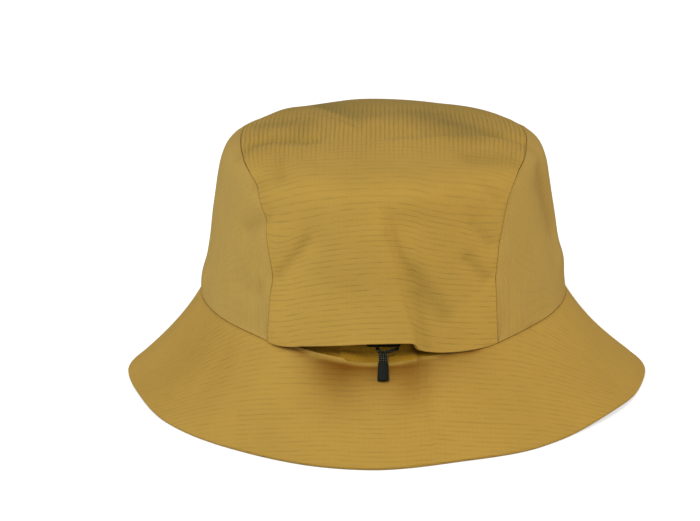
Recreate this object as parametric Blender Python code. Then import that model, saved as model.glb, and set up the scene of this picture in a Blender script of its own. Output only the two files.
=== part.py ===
"""Rain bucket hat of light cloth, standing on its rim.

The crown has three panels: a centre panel that runs from the back hem over the top to the front, and a
panel on each side. A sloping brim hangs from the crown's lower edge. At the back the centre panel ends in
a free hem. Below it shows an inner panel with a cord lock, and a short cord with a pull tab.

Lengths are in metres. +Z is up, the back of the hat faces -Y, and the rim stands on z = 0.
"""

import math

import bpy
import numpy as np

# Head opening and crown
HEAD_HALF_WIDTH = 0.0843
HEAD_HALF_LENGTH = 0.1009
HEAD_OVAL_POWER = 1.9
CROWN_HEIGHT = 0.0813
CROWN_SHIFT = -0.0014
CROWN_WALL = 0.0012

# Brim
BRIM_DROP = 0.0404
BRIM_REACH_SIDE = 0.0368
BRIM_REACH_BACK = 0.0376
BRIM_OVAL_POWER = 1.85
BRIM_FLARE_SHARE = 0.42
BRIM_WALL = 0.0016
RIM_EDGE = 0.0013
RIM_FLAT = 0.0020

# Back opening
HEM_RISE = 0.0093
NECK_DROP = 0.0049
FLAP_STAND = 0.0036
FLAP_LENGTH = 0.030
INNER_HEIGHT = 0.028
INNER_WALL = 0.0012
POCKET_DEPTH = 0.0048

# Hardware
LOCK_WIDTH = 0.0150
LOCK_DEPTH = 0.0034
LOCK_HEIGHT = 0.0075
LOCK_ABOVE_NECK = 0.0024
CORD_DIAMETER = 0.0015
CORD_CENTRE = 0.0002
CORD_SPREAD = 0.0043
TAB_LENGTH = 0.0122
TAB_TOP_WIDTH = 0.0039
TAB_END_WIDTH = 0.0049
TAB_THICKNESS = 0.0022
TAB_CENTRE = -0.0016
TAB_REACH_SHARE = 0.19

# Gap between pieces that are sewn or seated on each other
PIECE_GAP = 0.0003

# Side outline of the crown: height above the neck as a share of CROWN_HEIGHT, reach as a share of the neck
CROWN_PROFILE = (
    # height, reach
    (-0.120, 1.016),
    (0.000, 1.000),
    (0.160, 0.976),
    (0.320, 0.950),
    (0.500, 0.926),
    (0.660, 0.902),
    (0.780, 0.881),
    (0.850, 0.842),
    (0.902, 0.734),
    (0.941, 0.530),
    (0.975, 0.290),
    (1.000, 0.000),
)

# Seam between the centre and side panels on the flattened crown, whose neck is a circle of radius 1
PANEL_SEAM = (
    # along (to back or front), half width of the centre panel
    (0.00, 0.482),
    (0.12, 0.476),
    (0.24, 0.456),
    (0.34, 0.428),
    (0.44, 0.416),
    (0.55, 0.434),
    (0.66, 0.459),
    (0.76, 0.503),
    (0.84, 0.543),
    (0.90, 0.575),
)

# Back lower edge, from left to right. Across is a share of HEAD_HALF_WIDTH. The other columns are shares of
# NECK_DROP (how far the neck seam sags), HEM_RISE (the hem above it) and FLAP_STAND (how far the hem stands off).
BACK_EDGE = (
    # across, drop, rise, stand
    (-0.90, 0.00, 0.00, 0.00),
    (-0.74, 0.03, 0.00, 0.00),
    (-0.64, 0.14, 0.00, 0.10),
    (-0.57, 0.25, -0.03, 0.55),
    (-0.49, 0.40, 0.10, 0.80),
    (-0.38, 0.60, 0.43, 0.95),
    (-0.20, 0.88, 0.83, 1.00),
    (-0.04, 0.92, 1.00, 1.00),
    (0.14, 0.72, 0.88, 1.00),
    (0.19, 0.65, 0.46, 0.62),
    (0.27, 0.56, 0.22, 0.40),
    (0.36, 0.52, 0.04, 0.25),
    (0.46, 0.52, 0.00, 0.10),
    (0.56, 0.46, 0.00, 0.00),
    (0.66, 0.22, 0.00, 0.00),
    (0.78, 0.02, 0.00, 0.00),
    (0.90, 0.00, 0.00, 0.00),
)

# Folds and dents of the crown. Each is a line from one place to another on one face. Across and up are shares
# of the half width (back, front), the half length (sides) and the height, or on top the width and the length.
# Width is a share of HEAD_HALF_WIDTH, depth of CROWN_HEIGHT (plus is out). Where edge is over 0 the fold is a
# step: it starts sharply on the line, within edge, and fades to its right.
CROWN_FOLDS = (
    # face, across 1, up 1, across 2, up 2, width, depth, edge
    ("back", 0.03, 0.62, 0.175, 0.02, 0.200, -0.034, 0.030),
    ("back", -0.05, 0.60, 0.090, 0.02, 0.100, 0.014, 0.0),
    ("back", -0.58, 0.32, -0.380, 0.58, 0.070, -0.014, 0.0),
    ("back", -0.40, 0.20, -0.250, 0.42, 0.130, 0.010, 0.0),
    ("back", 0.47, 0.66, 0.570, 0.50, 0.060, -0.010, 0.0),
    ("back", 0.45, 0.46, 0.540, 0.32, 0.060, -0.011, 0.0),
    ("back", -0.68, 0.79, -0.520, 0.89, 0.060, -0.011, 0.0),
    ("back", 0.30, 0.72, -0.100, 0.76, 0.120, -0.006, 0.0),
    ("front", -0.35, 0.20, 0.150, 0.48, 0.110, -0.013, 0.0),
    ("front", 0.50, 0.25, 0.380, 0.62, 0.090, -0.012, 0.0),
    ("front", -0.10, 0.72, 0.300, 0.80, 0.100, -0.008, 0.0),
    ("left", -0.54, 0.50, -0.640, 0.64, 0.070, -0.014, 0.0),
    ("left", -0.66, 0.20, -0.550, 0.24, 0.060, -0.010, 0.0),
    ("left", 0.10, 0.30, 0.350, 0.62, 0.110, -0.013, 0.0),
    ("left", -0.15, 0.09, 0.200, 0.10, 0.070, 0.015, 0.0),
    ("right", -0.27, 0.72, -0.180, 0.38, 0.100, -0.017, 0.0),
    ("right", 0.30, 0.28, 0.180, 0.60, 0.120, -0.012, 0.0),
    ("right", -0.15, 0.20, 0.200, 0.18, 0.070, 0.012, 0.0),
    ("top", -0.30, 0.28, 0.420, 0.22, 0.360, -0.022, 0.0),
    ("top", -0.30, 0.72, 0.340, 0.72, 0.280, -0.018, 0.0),
    ("top", -0.72, -0.14, -0.360, -0.24, 0.070, -0.009, 0.0),
    ("top", 0.40, -0.44, 0.740, -0.36, 0.080, 0.008, 0.0),
)

# Folds of the brim. Turn is in degrees from the back centre, to the right. Run goes from 0 at the neck to 1
# at the rim. Depth is a share of BRIM_DROP, plus is out.
BRIM_FOLDS = (
    # turn, run, width in degrees, width in run, depth
    (-9.5, 0.36, 4.0, 0.20, -0.040),
    (6.5, 0.34, 3.5, 0.18, -0.036),
    (-1.5, 0.32, 3.5, 0.22, 0.020),
    (-62.0, 0.60, 14.0, 0.35, -0.030),
    (48.0, 0.70, 12.0, 0.30, 0.024),
    (115.0, 0.60, 16.0, 0.35, -0.024),
    (-128.0, 0.65, 15.0, 0.35, 0.022),
)

# Waves of the rim off the surface: turn as above, width in degrees, lift as a share of BRIM_DROP
RIM_WAVES = (
    # turn, width, lift
    (-70.0, 9.0, 0.025),
    (58.0, 10.0, 0.050),
    (165.0, 14.0, 0.040),
    (-150.0, 12.0, 0.035),
)

# Swells of the rim's outline: turn and width as above, out as a share of BRIM_REACH_SIDE
RIM_SWELLS = (
    # turn, width, out
    (-119.0, 16.0, -0.188),
    (-76.0, 12.0, -0.036),
    (-44.0, 14.0, 0.032),
    (-14.0, 9.0, 0.040),
    (14.0, 9.0, -0.110),
    (44.0, 14.0, -0.061),
    (76.0, 12.0, -0.040),
    (119.0, 16.0, -0.188),
)

CENTRE_CELLS = (22, 44)
SIDE_CELLS = (13, 24)
BRIM_CELLS = (88, 9)
INNER_CELLS = (20, 8)

CLOTH = ((0.447, 0.281, 0.058, 1.0), 0.86, 0.0)
CLOTH_INSIDE = ((0.360, 0.220, 0.045, 1.0), 0.90, 0.0)
DARK_PLASTIC = ((0.013, 0.015, 0.011, 1.0), 0.55, 0.0)
DARK_CORD = ((0.018, 0.019, 0.014, 1.0), 0.85, 0.0)
RUBBER = ((0.016, 0.018, 0.013, 1.0), 0.48, 0.0)


def smooth_table(rows, steps=24, mirror_last=False):
    """A smooth curve (Catmull-Rom) through the rows of a table. mirror_last makes the last row the middle of
    a curve that comes down alike on the other side, as at the crown's top."""
    rows = np.asarray(rows, float)
    before = 2 * rows[0] - rows[1]
    after = 2 * rows[-1] - rows[-2]
    if mirror_last:
        after = rows[-2] * (1, -1)
    points = np.vstack([before, rows, after])
    t = np.linspace(0, 1, steps, endpoint=False)[:, None]
    spans = []
    for a, b, c, d in zip(points, points[1:], points[2:], points[3:]):
        bend = 2 * b + (c - a) * t + (2 * a - 5 * b + 4 * c - d) * t**2
        spans.append((bend + (3 * b - a - 3 * c + d) * t**3) / 2)
    return np.vstack(spans + [rows[-1:]])


def smooth_step(value, low, high):
    """0 below low, 1 above high, and a soft rise between them."""
    t = np.clip((value - low) / (high - low), 0, 1)
    return t * t * (3 - 2 * t)


def oval(turn, half_width, half_length, roundness):
    """Radius of a superellipse at the angle turn."""
    across = np.abs(np.cos(turn)) / half_width
    along = np.abs(np.sin(turn)) / half_length
    return (across**roundness + along**roundness) ** (-1 / roundness)


def profile_by_arc():
    """The crown's outline as (share of the arc from the top to the neck, height, reach), and that arc in metres."""
    curve = smooth_table(CROWN_PROFILE, mirror_last=True)[::-1]
    mean_radius = (HEAD_HALF_WIDTH + HEAD_HALF_LENGTH) / 2
    steps = np.hypot(np.diff(curve[:, 0]) * CROWN_HEIGHT, np.diff(curve[:, 1]) * mean_radius)
    arc = np.concatenate([[0], np.cumsum(steps)])
    neck = np.interp(0, -curve[:, 0], arc)
    return np.column_stack([arc / neck, curve]), neck


PROFILE, CROWN_ARC = profile_by_arc()
SEAM = smooth_table(PANEL_SEAM)
EDGE = smooth_table(BACK_EDGE, 8)


def plain_crown(p, q):
    """The crown without folds. (p, q) is a place on the flattened crown: its centre is the top and its circle
    of radius 1 is the neck."""
    share = np.hypot(p, q)
    turn = np.arctan2(q, p)
    reach = np.interp(share, PROFILE[:, 0], PROFILE[:, 2])
    height = np.interp(share, PROFILE[:, 0], PROFILE[:, 1])
    radius = reach * oval(turn, HEAD_HALF_WIDTH, HEAD_HALF_LENGTH, HEAD_OVAL_POWER)
    x = radius * np.cos(turn) + CROWN_SHIFT
    return np.stack([x, radius * np.sin(turn), BRIM_DROP + CROWN_HEIGHT * height], -1)


def normals_of(surface, p, q, step=2e-3):
    """Outward unit normals of surface(p, q), by central differences."""
    along_p = surface(p + step, q) - surface(p - step, q)
    along_q = surface(p, q + step) - surface(p, q - step)
    normal = np.cross(along_p, along_q)
    return normal / np.linalg.norm(normal, axis=-1, keepdims=True)


def back_edge(across, column):
    """A column of BACK_EDGE at a share of the half width."""
    return np.interp(across, EDGE[:, 0], EDGE[:, column])


def fold_profile(across, up, row):
    """How far one fold of CROWN_FOLDS moves the places (across, up), in metres in its own face."""
    (x1, y1), (x2, y2), width, depth, edge = row
    run_x, run_y = x2 - x1, y2 - y1
    length = math.hypot(run_x, run_y)
    along = ((across - x1) * run_x + (up - y1) * run_y) / length
    side = ((across - x1) * -run_y + (up - y1) * run_x) / length
    past = np.maximum(np.maximum(-along, along - length), 0)
    spread = np.exp(-(side / width) ** 2 - (past / (width * 0.8)) ** 2)
    if edge > 0:
        spread = spread * smooth_step(side, -edge / 2, edge / 2)
    return depth * spread


def crown_relief(p, q):
    """How far folds and dents move the crown outwards, in metres."""
    place = plain_crown(p, q)
    across = (place[..., 0] - CROWN_SHIFT) / HEAD_HALF_WIDTH
    along = place[..., 1] / HEAD_HALF_LENGTH
    up = (place[..., 2] - BRIM_DROP) / CROWN_HEIGHT
    faces = {
        "back": (across * HEAD_HALF_WIDTH, up * CROWN_HEIGHT, smooth_step(-along, 0.15, 0.45)),
        "front": (across * HEAD_HALF_WIDTH, up * CROWN_HEIGHT, smooth_step(along, 0.15, 0.45)),
        "left": (along * HEAD_HALF_LENGTH, up * CROWN_HEIGHT, smooth_step(-across, 0.25, 0.55)),
        "right": (along * HEAD_HALF_LENGTH, up * CROWN_HEIGHT, smooth_step(across, 0.25, 0.55)),
        "top": (across * HEAD_HALF_WIDTH, along * HEAD_HALF_LENGTH, smooth_step(up, 0.72, 0.90)),
    }
    scale = {
        "back": (HEAD_HALF_WIDTH, CROWN_HEIGHT),
        "front": (HEAD_HALF_WIDTH, CROWN_HEIGHT),
        "left": (HEAD_HALF_LENGTH, CROWN_HEIGHT),
        "right": (HEAD_HALF_LENGTH, CROWN_HEIGHT),
        "top": (HEAD_HALF_WIDTH, HEAD_HALF_LENGTH),
    }
    total = np.zeros(across.shape)
    for face, x1, y1, x2, y2, width, depth, edge in CROWN_FOLDS:
        side, rise, weight = faces[face]
        wide, high = scale[face]
        ends = ((x1 * wide, y1 * high), (x2 * wide, y2 * high))
        row = (*ends, width * HEAD_HALF_WIDTH, depth * CROWN_HEIGHT, edge * HEAD_HALF_WIDTH)
        total += weight * fold_profile(side, rise, row)
    return total


def crown(p, q):
    """The crown's outer surface with its folds."""
    return plain_crown(p, q) + normals_of(plain_crown, p, q) * crown_relief(p, q)[..., None]


def flap(p, q):
    """The crown's outer surface where the centre panel's free back hem stands off the head."""
    place = plain_crown(p, q)
    across = (place[..., 0] - CROWN_SHIFT) / HEAD_HALF_WIDTH
    above = (np.hypot(p, q) - 1) * -CROWN_ARC
    stand = FLAP_STAND * back_edge(across, 3) * (1 - smooth_step(above, 0, FLAP_LENGTH))
    stand = stand * smooth_step(-q, 0.2, 0.5)
    return crown(p, q) + normals_of(plain_crown, p, q) * stand[..., None]


def neck_share(turn):
    """Where the neck seam is on the flattened crown at the angle turn: 1, and more where it sags at the back."""
    across = np.cos(turn) * oval(turn, HEAD_HALF_WIDTH, HEAD_HALF_LENGTH, HEAD_OVAL_POWER) / HEAD_HALF_WIDTH
    drop = NECK_DROP * back_edge(across, 1) * (np.sin(turn) < 0)
    return 1 + drop / CROWN_ARC


def hem_share(turn):
    """Where the centre panel's lower edge is: above the neck seam by the hem's rise at the back."""
    across = np.cos(turn) * oval(turn, HEAD_HALF_WIDTH, HEAD_HALF_LENGTH, HEAD_OVAL_POWER) / HEAD_HALF_WIDTH
    rise = HEM_RISE * back_edge(across, 2) * (np.sin(turn) < 0)
    return neck_share(turn) - (rise + PIECE_GAP / 2) / CROWN_ARC


def seam_half_width(q):
    return np.interp(np.abs(q), SEAM[:, 0], SEAM[:, 1])


def seam_end(way, line, inset):
    """Where the panel seam meets line at the back (way -1) or front (way 1)."""
    q = way * 0.84
    for _ in range(40):
        p = seam_half_width(q) + inset
        q = way * math.sqrt(float(line(np.arctan2(q, p))) ** 2 - p**2)
    return q


def disc_inset():
    """Half of the seam's gap on the flattened crown."""
    return PIECE_GAP / 2 / min(HEAD_HALF_WIDTH, HEAD_HALF_LENGTH, CROWN_ARC)


def crown_bottom(turn):
    return neck_share(turn) - PIECE_GAP / 2 / CROWN_ARC


def centre_grid():
    """Places of the centre panel on the flattened crown, from the back hem to the front neck."""
    columns = np.linspace(-1, 1, CENTRE_CELLS[0] + 1)
    rows = np.linspace(-1, 1, CENTRE_CELLS[1] + 1)
    side, along = np.meshgrid(columns, rows, indexing="ij")
    end = np.zeros(side.shape)
    for way in (-1, 1):
        q = np.full(columns.shape, way * 0.84)
        for _ in range(40):
            p = columns * (seam_half_width(q) - disc_inset())
            q = way * np.sqrt(hem_share(np.arctan2(q, p)) ** 2 - p**2)
        end[np.sign(along) == way] = np.repeat(np.abs(q), (np.sign(rows) == way).sum())
    q = along * end
    return side * (seam_half_width(q) - disc_inset()), q


def side_grid(hand):
    """Places of a side panel on the flattened crown: hand is -1 for the left one and 1 for the right one. Its
    rows go from the panel seam to the neck, and its columns from back to front."""
    inset = disc_inset()
    rows = np.linspace(0, 1, SIDE_CELLS[0] + 1)[:, None]
    columns = np.linspace(0, 1, SIDE_CELLS[1] + 1)[None, :]

    def hand_line(turn):
        return crown_bottom(np.arctan2(np.sin(turn), hand * np.cos(turn)))

    back = seam_end(-1, hand_line, inset)
    front = seam_end(1, hand_line, inset)
    seam_q = back + (front - back) * columns
    seam_p = seam_half_width(seam_q) + inset
    first = math.atan2(back, seam_p[0, 0])
    last = math.atan2(front, seam_p[0, -1])
    turn = first + (last - first) * columns
    neck_p = hand_line(turn) * np.cos(turn)
    neck_q = hand_line(turn) * np.sin(turn)
    p = seam_p + (neck_p - seam_p) * rows
    q = seam_q + (neck_q - seam_q) * rows
    return hand * p, q


def neck_line(turn):
    """The neck seam in space."""
    share = neck_share(turn)
    return crown(share * np.cos(turn), share * np.sin(turn))


def from_back(turn):
    """Degrees from the back centre, to the right, from -180 to 180."""
    return (np.degrees(turn) + 270) % 360 - 180


def rim_bumps(turn, rows):
    """The sum of soft bumps round the rim, each from a row (turn, width, height)."""
    total = np.zeros(np.shape(turn))
    for place, width, height in rows:
        off = (from_back(turn) - place + 180) % 360 - 180
        total = total + height * smooth_step(1 - np.abs(off) / (2 * width), 0, 1)
    return total


def rim_lift(turn):
    """How far the rim's waves lift it off the surface."""
    return BRIM_DROP * rim_bumps(turn, RIM_WAVES)


def plain_brim(turn, run):
    """The brim's outer surface without folds: run is 0 at the neck and 1 at the rim."""
    neck = neck_line(turn)
    half_width = HEAD_HALF_WIDTH + BRIM_REACH_SIDE
    half_length = HEAD_HALF_LENGTH + BRIM_REACH_BACK
    radius = oval(turn, half_width, half_length, BRIM_OVAL_POWER)
    radius = radius + BRIM_REACH_SIDE * rim_bumps(turn, RIM_SWELLS)
    out = run + BRIM_FLARE_SHARE * run * (run - 1)
    x = neck[..., 0] + (radius * np.cos(turn) - neck[..., 0]) * out
    y = neck[..., 1] + (radius * np.sin(turn) - neck[..., 1]) * out
    low = neck[..., 2] - PIECE_GAP / 2
    z = low + (RIM_EDGE - low) * run + rim_lift(turn) * run**2
    return np.stack([x, y, z], -1)


def brim_relief(turn, run):
    total = np.zeros(np.broadcast(turn, run).shape)
    for place, middle, wide, long, depth in BRIM_FOLDS:
        off = (from_back(turn) - place + 180) % 360 - 180
        total += depth * BRIM_DROP * np.exp(-(off / wide) ** 2 - ((run - middle) / long) ** 2)
    return total * np.sin(math.pi * np.clip(run, 0, 1)) ** 0.7


def brim_normals(turn, run):
    step = 2e-3
    around = plain_brim(turn + step, run) - plain_brim(turn - step, run)
    outwards = plain_brim(turn, run + step) - plain_brim(turn, run - step)
    normal = np.cross(outwards, around)
    return normal / np.linalg.norm(normal, axis=-1, keepdims=True)


def brim(turn, run):
    return plain_brim(turn, run) + brim_normals(turn, run) * brim_relief(turn, run)[..., None]


def pocket_place(side, up):
    """The inner panel's outer surface. side goes from -1 to 1 across the back opening, up from 0 at the neck
    seam to 1 at its sewn top."""
    reach = seam_half_width(0.84) * 0.97
    turn = np.arctan2(-np.sqrt(1 - (side * reach) ** 2), side * reach)
    share = neck_share(turn) - (PIECE_GAP / 2 + up * INNER_HEIGHT) / CROWN_ARC
    p, q = share * np.cos(turn), share * np.sin(turn)
    belly = (1 - side**4) * smooth_step(up, 0, 0.16) * (1 - smooth_step(up, 0.40, 1))
    inwards = CROWN_WALL + 1.5 * PIECE_GAP + POCKET_DEPTH * belly
    return crown(p, q) - normals_of(crown, p, q) * inwards[..., None]


def grid_mesh(name, outer, inner):
    """A closed shell from two grids of the same size: outer faces out, and a strip joins their edges."""
    m, n = outer.shape[:2]
    points = np.concatenate([outer.reshape(-1, 3), inner.reshape(-1, 3)])
    index = np.arange(m * n).reshape(m, n)
    quads = np.stack([index[:-1, :-1], index[1:, :-1], index[1:, 1:], index[:-1, 1:]], -1).reshape(-1, 4)
    border = np.concatenate([index[:-1, 0], index[-1, :-1], index[:0:-1, -1], index[0, :0:-1]])
    following = np.roll(border, -1)
    strip = np.column_stack([following, border, border + m * n, following + m * n])
    faces = np.concatenate([quads, quads[:, ::-1] + m * n, strip])
    mesh = bpy.data.meshes.new(name)
    mesh.from_pydata(points.tolist(), [], faces.tolist())
    mesh.validate()
    return mesh


def ring_mesh(name, section):
    """A closed ring from section[around, along], whose rows are closed loops."""
    m, n = section.shape[:2]
    index = np.arange(m * n).reshape(m, n)
    right = np.roll(index, -1, axis=0)
    faces = np.stack([index, right, np.roll(right, -1, axis=1), np.roll(index, -1, axis=1)], -1)
    mesh = bpy.data.meshes.new(name)
    mesh.from_pydata(section.reshape(-1, 3).tolist(), [], faces.reshape(-1, 4).tolist())
    mesh.validate()
    return mesh


def material_of(name, look):
    colour, roughness, metallic = look
    material = bpy.data.materials.new(name)
    material.use_nodes = True
    shader = material.node_tree.nodes["Principled BSDF"]
    shader.inputs["Base Color"].default_value = colour
    shader.inputs["Roughness"].default_value = roughness
    shader.inputs["Metallic"].default_value = metallic
    material.diffuse_color = colour
    return material


def place_object(name, data, look, parent):
    thing = bpy.data.objects.new(name, data)
    thing.data.materials.append(material_of(name, look))
    thing.parent = parent
    bpy.context.scene.collection.objects.link(thing)
    return thing


def add_bevel(thing, width, segments=2):
    bevel = thing.modifiers.new("edges", "BEVEL")
    bevel.width = width
    bevel.segments = segments
    bevel.limit_method = "ANGLE"


def make_centre_panel(parent):
    p, q = centre_grid()
    outer = flap(p, q)
    inner = outer - normals_of(flap, p, q) * CROWN_WALL
    return place_object("crown_centre_panel", grid_mesh("crown_centre_panel", outer, inner), CLOTH, parent)


def make_side_panel(parent, name, hand):
    p, q = side_grid(hand)
    if hand > 0:
        p, q = p[:, ::-1], q[:, ::-1]
    outer = flap(p, q)
    inner = outer - normals_of(flap, p, q) * CROWN_WALL
    return place_object(name, grid_mesh(name, outer[:, ::-1], inner[:, ::-1]), CLOTH, parent)


def make_brim(parent):
    even = np.linspace(0, 2 * math.pi, BRIM_CELLS[0], endpoint=False)[:, None]
    turns = even - 0.35 * np.sin(even) - math.pi / 2
    runs = np.linspace(0, 1, BRIM_CELLS[1] + 1)[None, :]
    outer = brim(turns, runs)
    under = outer - brim_normals(turns, runs) * BRIM_WALL
    rim = outer[:, -1:].copy()
    rim[..., 2] -= RIM_EDGE
    flat = rim.copy()
    flat[..., :2] *= 1 - RIM_FLAT / np.linalg.norm(rim[..., :2], axis=-1, keepdims=True)
    section = np.concatenate([outer, rim, flat, under[:, -2::-1]], axis=1)
    return place_object("brim", ring_mesh("brim", section[:, ::-1]), CLOTH, parent)


def make_inner_panel(parent):
    sides = np.linspace(-1, 1, INNER_CELLS[0] + 1)[:, None]
    ups = np.linspace(0, 1, INNER_CELLS[1] + 1)[None, :]
    outer = pocket_place(sides, ups)
    inner = outer - normals_of(pocket_place, sides, ups, 1e-3) * INNER_WALL
    return place_object("back_inner_panel", grid_mesh("back_inner_panel", outer, inner), CLOTH_INSIDE, parent)


def box_mesh(name, near, far, half_widths, half_thick):
    """A straight tapered bar from near to far: across is +X, and its thickness is across its run."""
    near, far = np.asarray(near), np.asarray(far)
    run = (far - near) / np.linalg.norm(far - near)
    thick = np.cross(run, (1.0, 0.0, 0.0))
    thick = thick / np.linalg.norm(thick) * half_thick
    corners = []
    for end, half_width in ((near, half_widths[0]), (far, half_widths[1])):
        side = np.array([half_width, 0, 0])
        corners += [end - side - thick, end + side - thick, end + side + thick, end - side + thick]
    faces = [(3, 2, 1, 0), (4, 5, 6, 7), (0, 1, 5, 4), (1, 2, 6, 5), (2, 3, 7, 6), (3, 0, 4, 7)]
    mesh = bpy.data.meshes.new(name)
    mesh.from_pydata([tuple(c) for c in corners], [], faces)
    return mesh


def lock_centre():
    """The cord lock stands in front of the inner panel, clear of it at its sides too."""
    height = LOCK_ABOVE_NECK + LOCK_HEIGHT / 2
    sides = np.linspace(-0.3, 0.3, 41)[:, None]
    ups = np.linspace(0, 0.8, 41)[None, :]
    wall = pocket_place(sides, ups)
    near = np.abs(wall[..., 0] - CROWN_SHIFT) < LOCK_WIDTH / 2 + 0.001
    near &= np.abs(wall[..., 2] - BRIM_DROP - height) < LOCK_HEIGHT / 2 + 0.001
    front = wall[..., 1][near].min()
    return np.array([CROWN_SHIFT, front - PIECE_GAP - LOCK_DEPTH / 2, BRIM_DROP + height])


def tab_ends():
    """The pull tab hangs over the brim's upper edge and lies on the brim below it, a share TAB_REACH_SHARE of the
    way to the rim. These are its top and lower middle points."""
    edge, low = brim(math.radians(-90), np.array([0.0, TAB_REACH_SHARE]))
    slope = (low - edge) / np.linalg.norm(low - edge)
    away = np.cross(slope, (1.0, 0.0, 0.0))
    lower = low + away * (TAB_THICKNESS / 2 + PIECE_GAP)
    upper = lower - slope * TAB_LENGTH
    upper[0] = lower[0] = TAB_CENTRE
    return upper, lower


def make_lock(parent):
    centre = lock_centre()
    half = np.array([0, 0, LOCK_HEIGHT / 2])
    widths = (LOCK_WIDTH / 2, LOCK_WIDTH / 2)
    mesh = box_mesh("cord_lock", centre + half, centre - half, widths, LOCK_DEPTH / 2)
    lock = place_object("cord_lock", mesh, DARK_PLASTIC, parent)
    add_bevel(lock, LOCK_DEPTH * 0.22)
    return lock


def make_tab(parent):
    upper, lower = tab_ends()
    widths = (TAB_TOP_WIDTH / 2, TAB_END_WIDTH / 2)
    mesh = box_mesh("pull_tab", upper, lower, widths, TAB_THICKNESS / 2)
    tab = place_object("pull_tab", mesh, RUBBER, parent)
    add_bevel(tab, TAB_THICKNESS * 0.25)
    return tab


def make_cord(parent):
    """A loop whose two strands leave the lock, go over the inner panel's edge and meet at the tab's top."""
    lock = lock_centre()
    upper, lower = tab_ends()
    slope = (upper - lower) / np.linalg.norm(upper - lower)
    bottom = upper + slope * (PIECE_GAP + CORD_DIAMETER / 2)
    front = lock[1] - LOCK_DEPTH / 2 + CORD_DIAMETER / 2
    top = lock[2] - LOCK_HEIGHT / 2 - PIECE_GAP
    close = TAB_TOP_WIDTH * 0.32
    knee = (front * 0.3 + bottom[1] * 0.7, top * 0.5 + bottom[2] * 0.5)
    down = top - CORD_DIAMETER * 0.5
    left, right = CORD_CENTRE - CORD_SPREAD, CORD_CENTRE + CORD_SPREAD
    route = [
        (left, front, top),
        (left, front, down),
        (bottom[0] * 0.3 + left * 0.7, *knee),
        (bottom[0] - close, bottom[1], bottom[2]),
        (bottom[0] + close, bottom[1], bottom[2]),
        (bottom[0] * 0.3 + right * 0.7, *knee),
        (right, front, down),
        (right, front, top),
    ]
    curve = bpy.data.curves.new("pull_cord", "CURVE")
    curve.dimensions = "3D"
    curve.bevel_depth = CORD_DIAMETER / 2
    curve.bevel_resolution = 1
    curve.use_fill_caps = True
    curve.resolution_u = 3
    spline = curve.splines.new("BEZIER")
    spline.bezier_points.add(len(route) - 1)
    for point, place in zip(spline.bezier_points, route):
        point.co = place
        point.handle_left_type = point.handle_right_type = "AUTO"
    return place_object("pull_cord", curve, DARK_CORD, parent)


def main():
    for old in list(bpy.data.objects):
        bpy.data.objects.remove(old, do_unlink=True)
    hat = bpy.data.objects.new("hat", None)
    bpy.context.scene.collection.objects.link(hat)
    make_centre_panel(hat)
    make_side_panel(hat, "crown_side_panel_left", -1)
    make_side_panel(hat, "crown_side_panel_right", 1)
    make_brim(hat)
    make_inner_panel(hat)
    make_lock(hat)
    make_cord(hat)
    make_tab(hat)


main()
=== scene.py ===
import math

import bpy
import numpy as np
from bpy.props import FloatProperty, FloatVectorProperty, IntProperty, PointerProperty
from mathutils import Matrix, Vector


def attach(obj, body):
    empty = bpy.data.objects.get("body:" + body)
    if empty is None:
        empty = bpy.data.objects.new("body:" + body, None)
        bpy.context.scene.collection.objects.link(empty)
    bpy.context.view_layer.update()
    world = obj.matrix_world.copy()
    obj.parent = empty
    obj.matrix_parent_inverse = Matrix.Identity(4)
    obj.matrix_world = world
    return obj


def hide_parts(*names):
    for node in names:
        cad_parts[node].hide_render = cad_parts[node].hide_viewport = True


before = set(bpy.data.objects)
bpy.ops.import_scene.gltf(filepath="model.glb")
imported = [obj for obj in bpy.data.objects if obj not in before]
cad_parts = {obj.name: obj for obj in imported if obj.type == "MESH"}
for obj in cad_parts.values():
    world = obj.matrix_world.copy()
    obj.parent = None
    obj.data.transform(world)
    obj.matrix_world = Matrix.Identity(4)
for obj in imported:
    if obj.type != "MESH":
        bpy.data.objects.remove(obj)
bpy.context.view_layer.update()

bl_info = {
    "name": "Rain Bucket Hat",
    "version": (1, 0, 0),
    "blender": (4, 5, 0),
    "location": "View3D > Sidebar > Hat",
    "description": "Cloth panels, brim, cord and pull tab of a rain bucket hat",
    "category": "Object",
}

BODY = "root"

# Side outline of the crown: height above the neck (share of the crown height), reach (share of the neck)
CROWN_PROFILE = (
    (-0.120, 1.016),
    (0.000, 1.000),
    (0.160, 0.976),
    (0.320, 0.950),
    (0.500, 0.926),
    (0.660, 0.902),
    (0.780, 0.881),
    (0.850, 0.842),
    (0.902, 0.734),
    (0.941, 0.530),
    (0.975, 0.290),
    (1.000, 0.000),
)

# Seam between centre and side panels on the flattened crown: along, half width
PANEL_SEAM = (
    (0.00, 0.482),
    (0.12, 0.476),
    (0.24, 0.456),
    (0.34, 0.428),
    (0.44, 0.416),
    (0.55, 0.434),
    (0.66, 0.459),
    (0.76, 0.503),
    (0.84, 0.543),
    (0.90, 0.575),
)

# Back lower edge: across (share of the half width), drop of the neck seam, rise of the hem, stand of it
BACK_EDGE = (
    (-0.90, 0.00, 0.00, 0.00),
    (-0.74, 0.03, 0.00, 0.00),
    (-0.64, 0.14, 0.00, 0.10),
    (-0.57, 0.25, -0.03, 0.55),
    (-0.49, 0.40, 0.10, 0.80),
    (-0.38, 0.60, 0.43, 0.95),
    (-0.20, 0.88, 0.83, 1.00),
    (-0.04, 0.92, 1.00, 1.00),
    (0.14, 0.72, 0.88, 1.00),
    (0.19, 0.65, 0.46, 0.62),
    (0.27, 0.56, 0.22, 0.40),
    (0.36, 0.52, 0.10, 0.25),
    (0.46, 0.52, 0.04, 0.12),
    (0.56, 0.46, 0.00, 0.00),
    (0.66, 0.22, 0.00, 0.00),
    (0.78, 0.02, 0.00, 0.00),
    (0.90, 0.00, 0.00, 0.00),
)

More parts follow.
